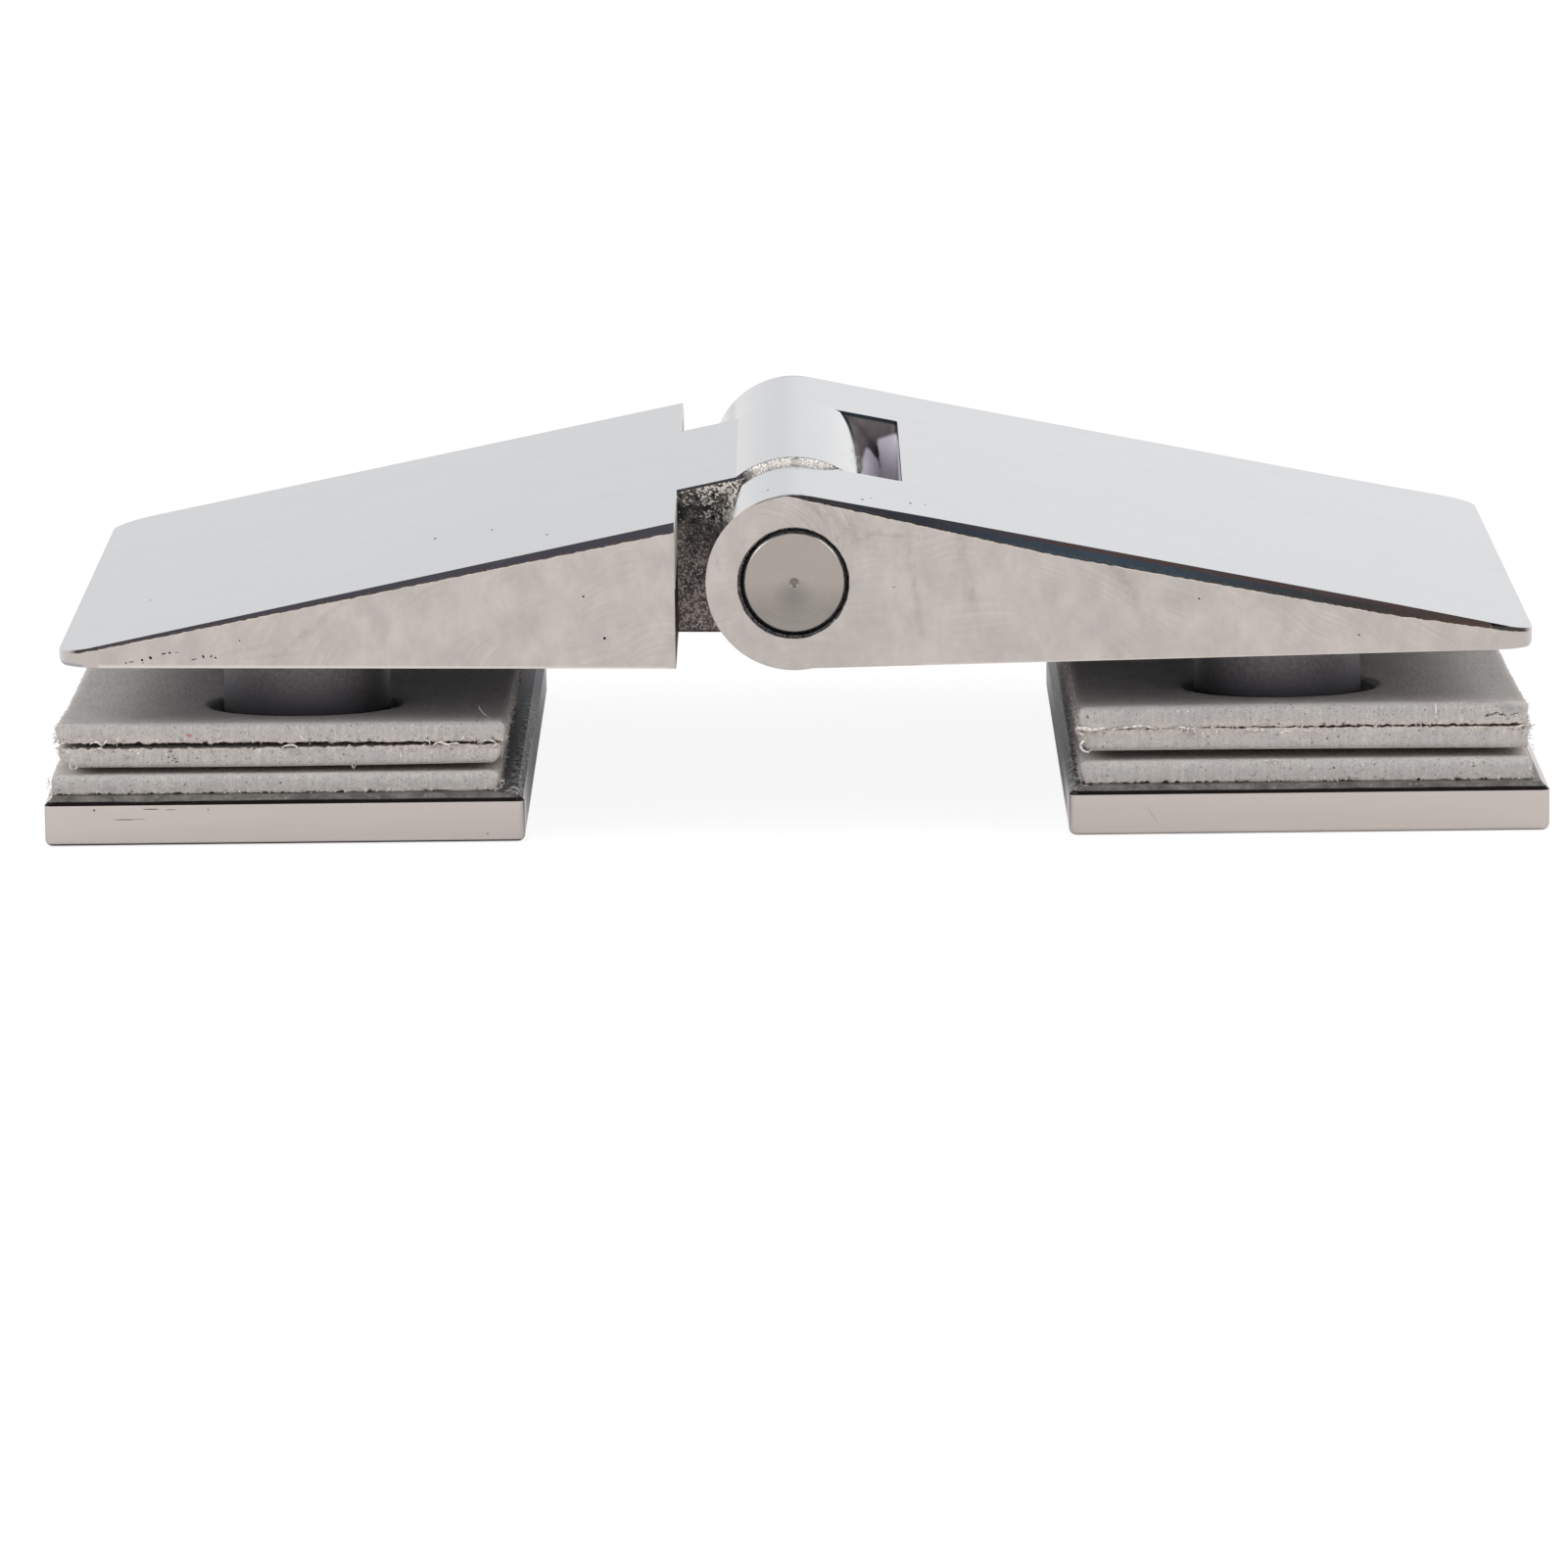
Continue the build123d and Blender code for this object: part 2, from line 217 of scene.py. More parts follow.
# a little less light from the upper left, and a dim patch straight overhead
left_dim = contrast(way["X"], -0.06, 0.04, 0.905, 1.0, "SMOOTHSTEP")
dimmed = blend_value(contrast(way["Z"], 0.35, 0.6), left_dim, 1.0)
side_walls = add_node("VectorMath", {0: walls.outputs[0], 3: dimmed}, operation="SCALE").outputs[0]
surroundings = blend(contrast(way["Z"], 0.9, 0.94), side_walls, (0.1, 0.1, 0.105))
seen = add_node("LightPath").outputs
mirrored = add_node("Background", {"Color": surroundings}).outputs[0]
lit = mixed(seen["Is Glossy Ray"], grey_shader("Background", 1, 0.72), mirrored)
direct = larger(seen["Is Camera Ray"], seen["Is Transmission Ray"])
lit = mixed(direct, lit, grey_shader("Background", 1))
add_node("OutputWorld", {0: lit})
print("the room has", len(tree.nodes), "nodes")

# %% The table top
bpy.ops.mesh.primitive_plane_add(size=6, location=(0, 0, -0.0001))
table_top = bpy.context.object
table_top.name = "table_top"
table_finish, shader = new_material("pale_table")
tree.nodes.remove(shader)
spot = add_node("SeparateXYZ", {0: add_node("TexCoord").outputs["Object"]}).outputs
front_part = contrast(spot["Y"], -0.04, 0.12, 1.0, 0.0, "SMOOTHSTEP")
warmth = blend(front_part, (0.93, 0.93, 0.94), (0.79, 0.715, 0.67))
plain = add_node("BsdfDiffuse", {"Color": warmth}).outputs[0]
white = add_node("AddShader", {0: grey_shader("BsdfDiffuse", 0.13),
                               1: grey_shader("Emission", 1, 0.91)})
seen = add_node("LightPath").outputs
table_look = mixed(seen["Is Camera Ray"], plain, white.outputs[0])
set_inputs(tree.nodes["Material Output"], {"Surface": table_look})
table_top.data.materials.append(table_finish)


# %% Lamps
def add_softbox(name, place, target, size, power):
    """One square soft lamp that faces a point on the hinge."""
    lamp = bpy.data.lights.new(name, "AREA")
    lamp.shape = "SQUARE"
    lamp.size = size
    lamp.energy = power
    holder = bpy.data.objects.new(name, lamp)
    bpy.context.scene.collection.objects.link(holder)
    holder.location = place
    holder.rotation_euler = (Vector(target) - Vector(place)).to_track_quat("-Z", "Y").to_euler()
    return holder


add_softbox("left_softbox", (-1.0, -0.5, 0.8), (0, 0, 0.02), 0.8, 6.8)
add_softbox("right_softbox", (1.0, -0.3, 0.8), (0, 0, 0.02), 0.8, 5)
print("two lamps, soft and from the sides")

# %% [markdown]
# ## Finishes are recipes of position
# Every finish below reads the Object coordinates, turned into millimetres. A zone, such as the
# rough cast end of a leaf, is where those numbers pass a limit. Nothing depends on the camera.

# %% Where the pin and the faces are, in millimetres
FRONT, SIDE = -45.0, 44.985     # the front faces, and how far out both long side faces begin
pin_low, pin_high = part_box("hinge_pin")
PIN_Z = 1000 * (pin_low.z + pin_high.z) / 2
PIN_RADIUS = 1000 * (pin_high.z - pin_low.z) / 2
END_Y = 1000 * pin_high.y
print("the pin's radius, height and end:", [round(v, 2) for v in (PIN_RADIUS, PIN_Z, END_Y)], "mm")


def place_in_mm():
    """Object coordinates in millimetres, whole and as three numbers."""
    spot = add_node("TexCoord").outputs["Object"]
    place = add_node("VectorMath", {0: spot, 3: 1000.0}, operation="SCALE").outputs[0]
    parts = add_node("SeparateXYZ", {0: place}).outputs
    return place, parts["X"], parts["Y"], parts["Z"]


def size_of(number):
    """A number without its sign."""
    return maths("ABSOLUTE", number)


def distance_from_pin(x, z, shift_x=0.0, shift_z=0.0):
    """How far a point is from the pin's axis, or from a line beside it."""
    away = [minus(x, shift_x), minus(z, PIN_Z + shift_z)]
    return maths("SQRT", plus(*[times(side, side) for side in away]))


def stretched(place, x, y, z):
    """A place, scaled along each axis."""
    return add_node("VectorMath", {0: place, 1: (x, y, z)}, operation="MULTIPLY").outputs[0]


def moved(place, by):
    """A place, moved by a vector."""
    return add_node("VectorMath", {0: place, 1: by}, operation="ADD").outputs[0]


def length_of(vector):
    """How long a vector is."""
    return add_node("VectorMath", {0: vector}, operation="LENGTH").outputs["Value"]


# %% Noise, specks and spots
def noise_of(place, scale, detail=2.0, roughness=0.5, output="Fac"):
    """Noise from 0 to 1, mostly near 0.5, with scale waves in a millimetre."""
    inputs = {"Vector": place, "Scale": scale, "Detail": detail, "Roughness": roughness}
    return add_node("TexNoise", inputs).outputs[output]


def specks_of(place, per_mm, share, radius):
    """Small round specks and a number for each. A share of the cells has one, at most so large."""
    cells = add_node("TexVoronoi", {"Vector": place, "Scale": per_mm, "Randomness": 1.0})
    luck = add_node("SeparateColor", {0: cells.outputs["Color"]}).outputs
    chosen = over(luck[0], 1 - share, 0.001)
    size = times(contrast(luck[1], 0, 1, 0.45, 1.0), radius * per_mm)
    inside = minus(size, cells.outputs["Distance"])
    return both_of(chosen, contrast(inside, 0.0, radius * per_mm * 0.3)), luck[2]


def spot_at(place, centre, half, turn=0.0, soft=0.15):
    """1 inside an ellipsoid with these half sizes, turned by some degrees about y."""
    from_centre = add_node("Mapping", {"Vector": place, "Location": centre, "Scale": half,
                                       "Rotation": (0, math.radians(-turn), 0)},
                           vector_type="TEXTURE")
    return under(length_of(from_centre.outputs[0]), 1.0, soft)


def front_spots(place, spots, front=FRONT, soft=0.15, scale=1.0, deep=1.0):
    """1 inside any spot on a front face. A spot is (x, z, half length, half width, turn)."""
    return either_of(*[spot_at(place, (x, front, z), (scale * long, deep, scale * wide), turn, soft)
                       for x, z, long, wide, turn in spots])


def top_dots(place, dots):
    """1 inside any dot on a top face. A dot is (x, y, half size)."""
    return either_of(*[spot_at(place, (x, y, 30), (size, 3.2 * size, 15)) for x, y, size in dots])


def dress_shader(shader, colour, roughness, height, metallic=0.0, depth=1.0, strength=1.0):
    """Gives a shader its looks, and a relief of height times depth, in millimetres."""
    bump = add_node("Bump", {"Height": height, "Distance": depth / 1000, "Strength": strength})
    set_inputs(shader, {"Base Color": colour, "Roughness": roughness, "Metallic": metallic,
                        "Normal": bump.outputs[0]})


# %% [markdown]
# ## Leaf steel
# The leaves are cast, ground and buffed by hand. The buffed faces keep faint curved wheel marks,
# a few casting pits and slow waves. The tongue's side faces and the shoulders beside it were
# never ground: they stay black and grainy. The round bosses are turned and left dull. Light and
# shade are painted on the bosses, along the bevels and on the tongue's cast part.

# %% Marks that are always in the same place
# a mark or a smear is (x, z, half length, half width, turn), and a dot is (x, y, half size)
TONGUE_MARKS = (
    (-67.92, 18.90, 0.08, 0.09, 0), (-67.35, 19.00, 0.26, 0.05, 5), (-66.25, 19.18, 0.12, 0.12, 0),
    (-65.41, 19.40, 0.18, 0.14, -30), (-66.19, 18.90, 0.06, 0.06, 0),
    (-64.06, 19.81, 0.24, 0.07, 12), (-63.46, 19.89, 0.14, 0.09, 8),
    (-62.72, 19.94, 0.20, 0.04, 0), (-60.99, 19.20, 0.28, 0.05, 8), (-60.05, 19.46, 0.10, 0.19, 25),
    (-59.25, 19.49, 0.14, 0.07, 40), (-58.81, 19.33, 0.12, 0.09, -20),
    (-56.33, 21.08, 0.08, 0.07, 0), (-21.4, 25.2, 0.12, 0.1, 0), (-19.3, 20.9, 0.14, 0.14, 0))
TONGUE_SMEARS = ((-55.6, 20.2, 1.5, 0.14, 12), (-52.8, 19.5, 1.8, 0.16, 6),
                 (-49.0, 22.2, 2.6, 0.25, 40))
TONGUE_DOTS = ((-37.3, -19.6, 0.18), (-31.3, -22.0, 0.14), (-25.3, -33.9, 0.13),
               (-67.0, -20.1, 0.12))
FORK_MARKS = ((10.1, 25.8, 0.16, 0.04, -12), (41.0, 24.3, 0.1, 0.1, 0), (57.2, 20.4, 0.12, 0.08, 0))
FORK_SMEARS = (
    (-7.75, 28.5, 0.07, 0.34, 5), (-7.55, 27.7, 0.06, 0.22, -12), (6.9, 30.85, 1.6, 0.16, 22),
    (9.7, 31.2, 1.9, 0.14, -6), (5.6, 32.3, 0.22, 0.12, 0), (4.6, 31.2, 1.0, 0.14, 50),
    (12.0, 27.2, 0.25, 3.4, 8), (17.5, 27.0, 0.3, 3.2, 12), (33.0, 27.0, 0.5, 2.6, 25),
    (3.3, 33.2, 2.2, 0.3, -38))
FORK_DOTS = ((7.0, -40.5, 0.16), (7.9, -38.4, 0.10), (11.9, -36.8, 0.16), (13.4, -36.0, 0.10),
             (-2.6, -39.0, 0.12))

# %% Sizes of the leaves
# top is the top face's height where x is 0, and its rise along x. bevel is how wide its long
# bevels are, ends is where they begin and end, and tip is how far out the painted dark line goes.
# strip is one line or more, each a depth where x is 0 and its growth along x: the least depth
# counts. The strip is painted dark as the bevel's reflection.
TONGUE = {"name": "tongue_leaf_steel", "top": (35.07, 0.2041), "bevel": 0.7,
          "ends": (-70.6, -11.0), "tip": 73.4, "strip": ((1.06, 0.010),),
          "marks": TONGUE_MARKS, "smears": TONGUE_SMEARS, "dots": TONGUE_DOTS}
FORK = {"name": "fork_leaf_steel", "top": (35.56, -0.1998), "bevel": 0.9,
        "ends": (-1.5, 70.6), "tip": 74.4, "strip": ((0.45, 0.035), (1.66, -0.0097), (4.1, -0.05)),
        "marks": FORK_MARKS, "smears": FORK_SMEARS, "dots": FORK_DOTS}
BOSS_TOP = 17.36                # the bosses' faces, which are turned and dull
GLASS_SIDE = 17.68              # the milled side over the glass, which rises towards the tips
GLASS_RISE = 0.0145
GLASS_START = 13.0              # and begins this far from the pin's axis
# dark tones painted as shade round the pin, and as the dark reflection of the pin's chamfer
PAINTED_DARK_TONES = ((0.05, 0.05, 0.053), (0.22, 0.22, 0.22))


# %% What the buffing wheel leaves
def wheel_marks(place, y):
    """Wide arcs, in patches, that change their centre from patch to patch."""
    drift = stretched(noise_of(place, 0.045, output="Color"), 15, 5, 15)
    bent = moved(moved(place, (-14, 0, 30)), drift)
    reach = length_of(stretched(bent, 1, 0, 1))
    arcs = add_node("CombineXYZ", {0: times(reach, 3.6), 2: times(y, 0.3)}).outputs[0]
    patches = contrast(noise_of(place, 0.16, 1), 0.42, 0.6)
    return both_of(patches, contrast(noise_of(arcs, 1.0, 3, 0.7), 0.4, 0.66))


def fan_marks(x, z, radius):
    """The fan of marks beside the pin, on its upper right."""
    angle = maths("ARCTAN2", minus(z, PIN_Z), x)
    turn = maths("MULTIPLY_ADD", radius, -3.4, times(angle, 14.0))
    fan = add_node("CombineXYZ", {0: turn, 1: times(radius, 0.3)}).outputs[0]
    return both_of(within(angle, 0.55, 1.9, 0.3, 0.4), under(radius, 10.0, 1.2),
                   contrast(noise_of(fan, 1.0, 2, 0.6), 0.42, 0.6))


# %% The bevels' tints, and the painted dark reflection and highlight under them
def bevel_zones(leaf, x, flat_x, flat_y, under_top, ragged):
    """The bevel, the strip of the side face under it, the strip's lip, and the tip's dark line.
    The strip and the tip's line are painted dark reflections, and the lip a painted highlight.
    """
    on_side, off_side = over(flat_y, SIDE, 0.01), under(flat_y, SIDE, 0.01)
    below_top = under(under_top, -0.015, 0.01)
    between_ends = within(x, *leaf["ends"], 0.1)
    bevel = both_of(off_side, over(flat_y, SIDE - 0.005 - leaf["bevel"], 0.02),
                    over(under_top, -leaf["bevel"] - 0.12, 0.02), below_top, between_ends)
    depths = [maths("MULTIPLY_ADD", x, slope, base) for base, slope in leaf["strip"]]
    in_strip = plus(under_top, smaller(*depths), times(ragged, 0.7))
    strip = both_of(on_side, over(in_strip, 0.0, 0.02), between_ends)
    lip_highlight = both_of(on_side, within(in_strip, -0.1, 0.0, 0.03, 0.02), between_ends)
    tip_dark_reflection = both_of(under(between_ends, 0.5, 0.2), within(flat_x, 60.0, leaf["tip"], 0.02, 0.4),
                       over(flat_y, 42.5), over(in_strip, 0.0, 0.03), below_top)
    return bevel, strip, lip_highlight, tip_dark_reflection


def bevel_tones(leaf, x, flat_y, ragged, streaks, fine):
    """The bevel's colour, one tone along the top and one along the side, and the strip's.
    The strip's colour is a painted dark reflection.
    """
    lower = blend(over(x, 19.0, 6.0), (0.34, 0.36, 0.43), (0.4, 0.56, 0.72))
    lower = coated(lower, (over(x, 47.0, 9.0), (0.42, 0.4, 0.4)),
                   (over(x, 62.0, 6.0), (0.7, 0.5, 0.43)),
                   (under(x, -8.0, 2.0), (0.62, 0.58, 0.68)))
    upper = both_of(under(plus(flat_y, ragged), -FRONT - 0.52 * leaf["bevel"], 0.06),
                    over(x, 21.0, 7.0))
    tinted = coated(lower, (upper, (0.68, 0.46, 0.44)),
                    (contrast(streaks, 0.5, 0.7, 0.0, 0.35), (0.6, 0.58, 0.57)))
    # the strip: the lower tone, darkened as a painted dark reflection
    shade = blend_value(contrast(fine, 0.4, 0.6), 0.12, 0.17)
    shade = add_node("CombineColor", {0: shade, 1: shade, 2: shade}).outputs[0]
    return tinted, blend(1.0, shade, lower, "MULTIPLY")


# %% A leaf's finish
def leaf_finish(leaf, cast_part):
    """Polished cast steel, with a cast part that was left rough: its mask, colour and chalk."""
    material, shader = new_material(leaf["name"])
    place, x, y, z = place_in_mm()
    flat_x, flat_y = size_of(x), size_of(y)
    long_face = over(flat_y, SIDE, 0.01)
    slow = noise_of(place, 0.09, 2)
    smears = noise_of(stretched(place, 0.5, 0.5, 0.32), 1.0, 4, 0.6)
    streaks = noise_of(stretched(place, 1.6, 0.25, 0.12), 1.0, 3, 0.6)
    fine = noise_of(place, 4.3, 2, 0.5)
    grain = noise_of(place, 2.6, 5, 0.65)
    coarse = noise_of(place, 0.9, 3, 0.6)
    wheel = wheel_marks(place, y)
    radius = distance_from_pin(x, z, -0.1, -0.08)
    fan = both_of(long_face, fan_marks(x, z, radius))
    # casting pits, and the marks that are always in the same place
    pits = either_of(specks_of(place, 0.33, 0.04, 0.08)[0], specks_of(place, 0.9, 0.05, 0.05)[0],
                     front_spots(place, leaf["marks"]), times(top_dots(place, leaf["dots"]), 0.7))
    faint = both_of(front_spots(place, leaf["smears"], FRONT, 0.6, 1.5, 0.5),
                    contrast(noise_of(place, 1.3, 3, 0.65), 0.36, 0.6))
    # the dull bosses, the milled glass side, and a painted highlight along the front face's low
    # edge
    boss = under(z, BOSS_TOP, 0.01)
    level = minus(z, times(flat_x, GLASS_RISE))
    past_pin = over(flat_x, GLASS_START)
    glass_side = both_of(under(level, GLASS_SIDE, 0.02), under(flat_y, 44.6), past_pin)
    low_edge_highlight = both_of(long_face, under(level, GLASS_SIDE + 0.02, 0.1), past_pin)
    # the bevels, and a ragged strip of the side face painted dark as a reflection, ended by a thin
    # painted highlight, the lip
    under_top = above_line(z, leaf["top"][0], x, leaf["top"][1])
    ragged = spread(noise_of(stretched(place, 0.9, 0, 0), 1.0, 3, 0.6), -0.12, 0.12)
    bevel, strip, lip_highlight, tip_dark_reflection = bevel_zones(leaf, x, flat_x, flat_y, under_top, ragged)
    lip_highlight = both_of(lip_highlight, contrast(coarse, 0.42, 0.55))
    tinted, strip_dark_reflection = bevel_tones(leaf, x, flat_y, ragged, streaks, fine)
    # the groove round the pin and the thin line over the front ear, both painted dark as shade
    wobble = spread(noise_of(place, 0.9, 3), -0.05, 0.05)
    groove = both_of(under(plus(radius, wobble), PIN_RADIUS + 0.2, 0.03),
                     over(flat_y, END_Y - 0.8))
    rim_line = both_of(long_face, over(distance_from_pin(x, z), 8.85, 0.03),
                       within(x, -3.9, 0.6, 0.6, 0.3), over(z, PIN_Z + 7))
    painted_shade = blend(contrast(fine, 0.4, 0.68), *PAINTED_DARK_TONES)
    # colour
    clean = blend(spread(slow), (0.58, 0.583, 0.595), (0.625, 0.625, 0.635))
    clean = blend(contrast(streaks, 0.3, 0.75), clean, (0.605, 0.6, 0.6))
    brushed = blend(contrast(smears, 0.32, 0.7), (0.555, 0.555, 0.56), (0.685, 0.682, 0.682))
    brushed = coated(brushed, (times(wheel, 0.5), (0.51, 0.505, 0.5)),
                     (times(fan, 0.5), (0.45, 0.44, 0.43)), (times(faint, 0.45), (0.4, 0.39, 0.38)),
                     (low_edge_highlight, (0.78, 0.775, 0.765)), (lip_highlight, (0.8, 0.76, 0.7)),
                     (strip, strip_dark_reflection))
    clean = coated(clean, (long_face, brushed), (bevel, tinted), (tip_dark_reflection, (0.07, 0.065, 0.07)),
                   (pits, (0.03, 0.027, 0.025)))
    # the bosses' dull tone, darkened with painted shade, most towards their lower ends
    dull_and_shaded = blend(spread(grain), (0.15, 0.145, 0.158), (0.26, 0.253, 0.272))
    dull_and_shaded = blend(under(z, 14.5, 2.5), dull_and_shaded, (0.085, 0.082, 0.09))
    milled = blend(streaks, (0.38, 0.41, 0.47), (0.46, 0.49, 0.55))
    cast, cast_colour, chalky = cast_part(place, x, y, z, under_top, fine, coarse)
    colour = coated(clean, (glass_side, milled), (boss, dull_and_shaded), (cast, cast_colour),
                    (either_of(groove, times(rim_line, 0.75)), painted_shade))
    # roughness
    rough = plus(spread(slow, 0.05, 0.085), times(wheel, 0.09), times(long_face, 0.06))
    for mask, value in ((glass_side, 0.32), (boss, 0.5), (either_of(cast, groove), 0.45),
                        (pits, 0.6)):
        rough = blend_value(mask, rough, value)
    # relief: pits, wheel marks, slow waves, the cast skin's crust, except in the slot, and grain
    crust = plus(times(fine, 0.16), times(coarse, 0.25))
    relief = plus(times(pits, -0.06), times(wheel, 0.0006), times(noise_of(place, 0.14, 1), 0.006),
                  both_of(cast, under(y, 20.0), crust), both_of(boss, times(grain, 0.012)))
    dress_shader(shader, colour, rough, relief, minus(1.0, chalky))
    return material


# %% What was never ground
TONGUE_BACK = -12.13                    # the tongue's cast part goes from here to the pin
SHOULDERS = (-12.15, -12.05, 22.01)     # the shoulders' limits along x, and their start in y
WALL_OF_EAR = (21.5, 22.53, 11.14)      # the rear ear's inner wall: its limits in y, its end in x
SLOT_END = (11.14, 11.25, 22.4)         # the slot's end wall: its limits in x, its half width


def tongue_cast_part(place, x, y, z, under_top, fine, coarse):
    """The shoulders and the tongue's side faces: black casting skin with bright worn grains.
    Light is painted near the top edge and low down, shade in a column and low on the shoulder.
    """
    flat_y = size_of(y)
    mask = both_of(over(x, TONGUE_BACK, 0.01), over(flat_y, 21.69, 0.01))
    # how much of the skin shows bright grains: most under the top edge and low down, where light is
    # painted, and hardly any in the column of painted shade
    near_top = contrast(under_top, -4.6, -0.5)
    low_down = contrast(z, 29.5, 24.5)
    column = spot_at(place, (-11.0, -22.0, 32.2), (1.3, 4.0, 3.2), 0, 0.5)
    density = larger(times(near_top, 0.135), times(low_down, 0.1))
    density = plus(minus(density, times(column, 0.1)), spread(coarse, -0.05, 0.05))
    worn = contrast(minus(fine, minus(0.6, density)), 0.0, 0.06)
    # painted light: the grains are lighter near the top edge, and grains and skin lighter low down
    bright = blend(near_top, (0.4, 0.37, 0.35), (0.86, 0.8, 0.72))
    bright = blend(low_down, bright, (0.62, 0.56, 0.54))
    skin = blend(contrast(coarse, 0.38, 0.62), (0.035, 0.034, 0.037), (0.17, 0.155, 0.145))
    low_skin = blend(contrast(coarse, 0.35, 0.6), (0.12, 0.115, 0.125), (0.27, 0.235, 0.225))
    top_edge = both_of(over(under_top, -0.26, 0.03), under(x, -4.0, 1.0))
    skin = coated(skin, (low_down, low_skin), (worn, bright), (top_edge, (0.06, 0.06, 0.066)))
    # the shoulder, which is seen as a thin strip: olive above, painted black below as shade, with a
    # bright nick
    back, front, inner = SHOULDERS
    shoulder = both_of(within(x, back, front), over(flat_y, inner, 0.01))
    olive = blend(contrast(coarse, 0.35, 0.65), (0.36, 0.36, 0.31), (0.8, 0.78, 0.68))
    nick = either_of(within(z, 25.85, 26.35, 0.08), over(z, 31.9, 0.3))
    olive = coated(olive, (under(z, 26.1, 0.1), (0.018, 0.018, 0.018)), (nick, (0.9, 0.9, 0.88)))
    # the strip of the round side face that shows over the fork's ear
    radius = distance_from_pin(x, z)
    crescent = both_of(over(radius, 8.6, 0.05), within(x, -4.4, 3.6, 0.9, 0.5),
                       over(z, PIN_Z + 7.0))
    beige = blend(contrast(coarse, 0.38, 0.6), (0.66, 0.63, 0.61), (1.0, 0.95, 0.89))
    beige = blend(over(radius, 9.47, 0.03), beige, (0.45, 0.44, 0.43))
    # the worn edge of the shoulder is matt
    chalky = both_of(shoulder, over(z, 25.9, 0.1))
    return mask, coated(skin, (shoulder, olive), (crescent, beige)), chalky


def fork_cast_part(place, x, y, z, under_top, fine, coarse):
    """The rear ear's wall in the slot: bright low down, with a painted reflection and a painted
    glow, a band of painted shade, and a dark top edge.
    """
    low, high, end = WALL_OF_EAR
    ear_wall = both_of(within(y, low, high, 0.01), under(x, end, 0.01))
    low, high, half_slot = SLOT_END
    end_wall = both_of(within(x, low, high, 0.01), under(size_of(y), half_slot))
    leaning = plus(above_line(x, 10.4, z, -0.04), spread(coarse, -0.12, 0.12))
    # painted light and shade on the walls: a pale reflection, a glow beside it, and a shade band
    painted_reflection = both_of(over(leaning, 0.0, 0.12), under(above_line(z, 28.46, x, 0.32), 0.0, 0.2))
    glow = both_of(over(x, 6.3, 0.15), under(above_line(x, 22.7, z, -0.585), 0.0, 0.3),
                   under(z, 28.6, 0.6))
    shade = both_of(under(leaning, 0.0, 0.15), under(z, 31.0, 0.8),
                    over(above_line(x, 22.8, z, -0.585), 0.0, 0.3))
    stain = spot_at(place, (6.65, 22.5, 32.2), (0.9, 1.0, 0.28), -35, 0.3)
    low_end = both_of(end_wall, under(maths("MULTIPLY_ADD", y, 0.1, z), 33.9, 0.2))
    painted_reflection = either_of(low_end, both_of(ear_wall, painted_reflection))
    edge_line = both_of(end_wall, under(y, 8.0, 6.0), over(z, 32.3, 0.3))
    top_edge = both_of(ear_wall, over(under_top, -0.4, 0.08))
    colour = blend(coarse, (0.19, 0.16, 0.16), (0.3, 0.26, 0.26))
    colour = coated(colour, (shade, (0.07, 0.07, 0.073)), (glow, (0.44, 0.425, 0.5)),
                    (painted_reflection, (0.92, 0.88, 0.98)), (stain, (0.62, 0.52, 0.5)),
                    (top_edge, (0.04, 0.055, 0.065)), (edge_line, (0.05, 0.045, 0.047)))
    # the painted pale reflection low in the slot, and the painted glow on the ear's wall, are matt
    chalky = either_of(painted_reflection, both_of(ear_wall, glow))
    return either_of(ear_wall, end_wall), colour, both_of(chalky, under(edge_line, 0.5, 0.3))


# %% The two leaf steels
tongue_steel = leaf_finish(TONGUE, tongue_cast_part)
fork_steel = leaf_finish(FORK, fork_cast_part)
print("leaf steel:", len(tree.nodes), "nodes")

# %% [markdown]
# ## Pin steel
# The pin's ends are faced in a lathe. The tool leaves rings round the centre, so the relief is
# noise of one number only, the distance from the axis. Light on the upper half, shade below the
# centre and a dark reflection on the chamfered edge are painted.

# %% The pin's finish
pin_finish, shader = new_material("turned_pin_steel")
place, x, y, z = place_in_mm()
radius = distance_from_pin(x, z)
turning = add_node("CombineXYZ", {0: times(larger(radius, 0.5), 5.0)}).outputs[0]
rings = noise_of(turning, 1.0, 4, 0.8)
blotches = noise_of(place, 0.35, 3, 0.6)
specks, _ = specks_of(place, 1.1, 0.12, 0.07)
rim_specks, _ = specks_of(place, 2.2, 0.08, 0.1)
# the chamfered edge, painted dark as its reflection
edge_wobble = spread(noise_of(place, 1.3, 3), -0.05, 0.05)
edge = over(plus(radius, edge_wobble), PIN_RADIUS - 0.42, 0.05)
chamfer_dark_reflection = blend(contrast(noise_of(place, 5.5, 2, 0.6), 0.4, 0.68), *PAINTED_DARK_TONES)
# painted light on the upper half, and painted shade below the centre
painted_light_upper_half = over(plus(z, spread(blotches, -0.3, 0.3)), PIN_Z - 1.4, 1.6)
painted_shade_below_centre = spot_at(place, (-0.1, FRONT, PIN_Z - 1.35), (1.4, 3.0, 1.15), 0, 0.7)
colour = blend(spread(rings), (0.3, 0.292, 0.283), (0.41, 0.4, 0.388))
colour = coated(colour, (contrast(blotches, 0.35, 0.75, 0.0, 0.5), (0.25, 0.243, 0.238)),
                (times(painted_light_upper_half, 0.7), (0.52, 0.495, 0.47)),
                (times(painted_shade_below_centre, 0.7), (0.25, 0.25, 0.245)),
                (under(radius, 0.42, 0.08), (0.47, 0.455, 0.44)), (specks, (0.15, 0.14, 0.13)),
                (edge, chamfer_dark_reflection), (both_of(edge, rim_specks), (0.55, 0.54, 0.52)))
dress_shader(shader, colour, spread(rings, 0.24, 0.36), times(rings, 0.012), 1.0)
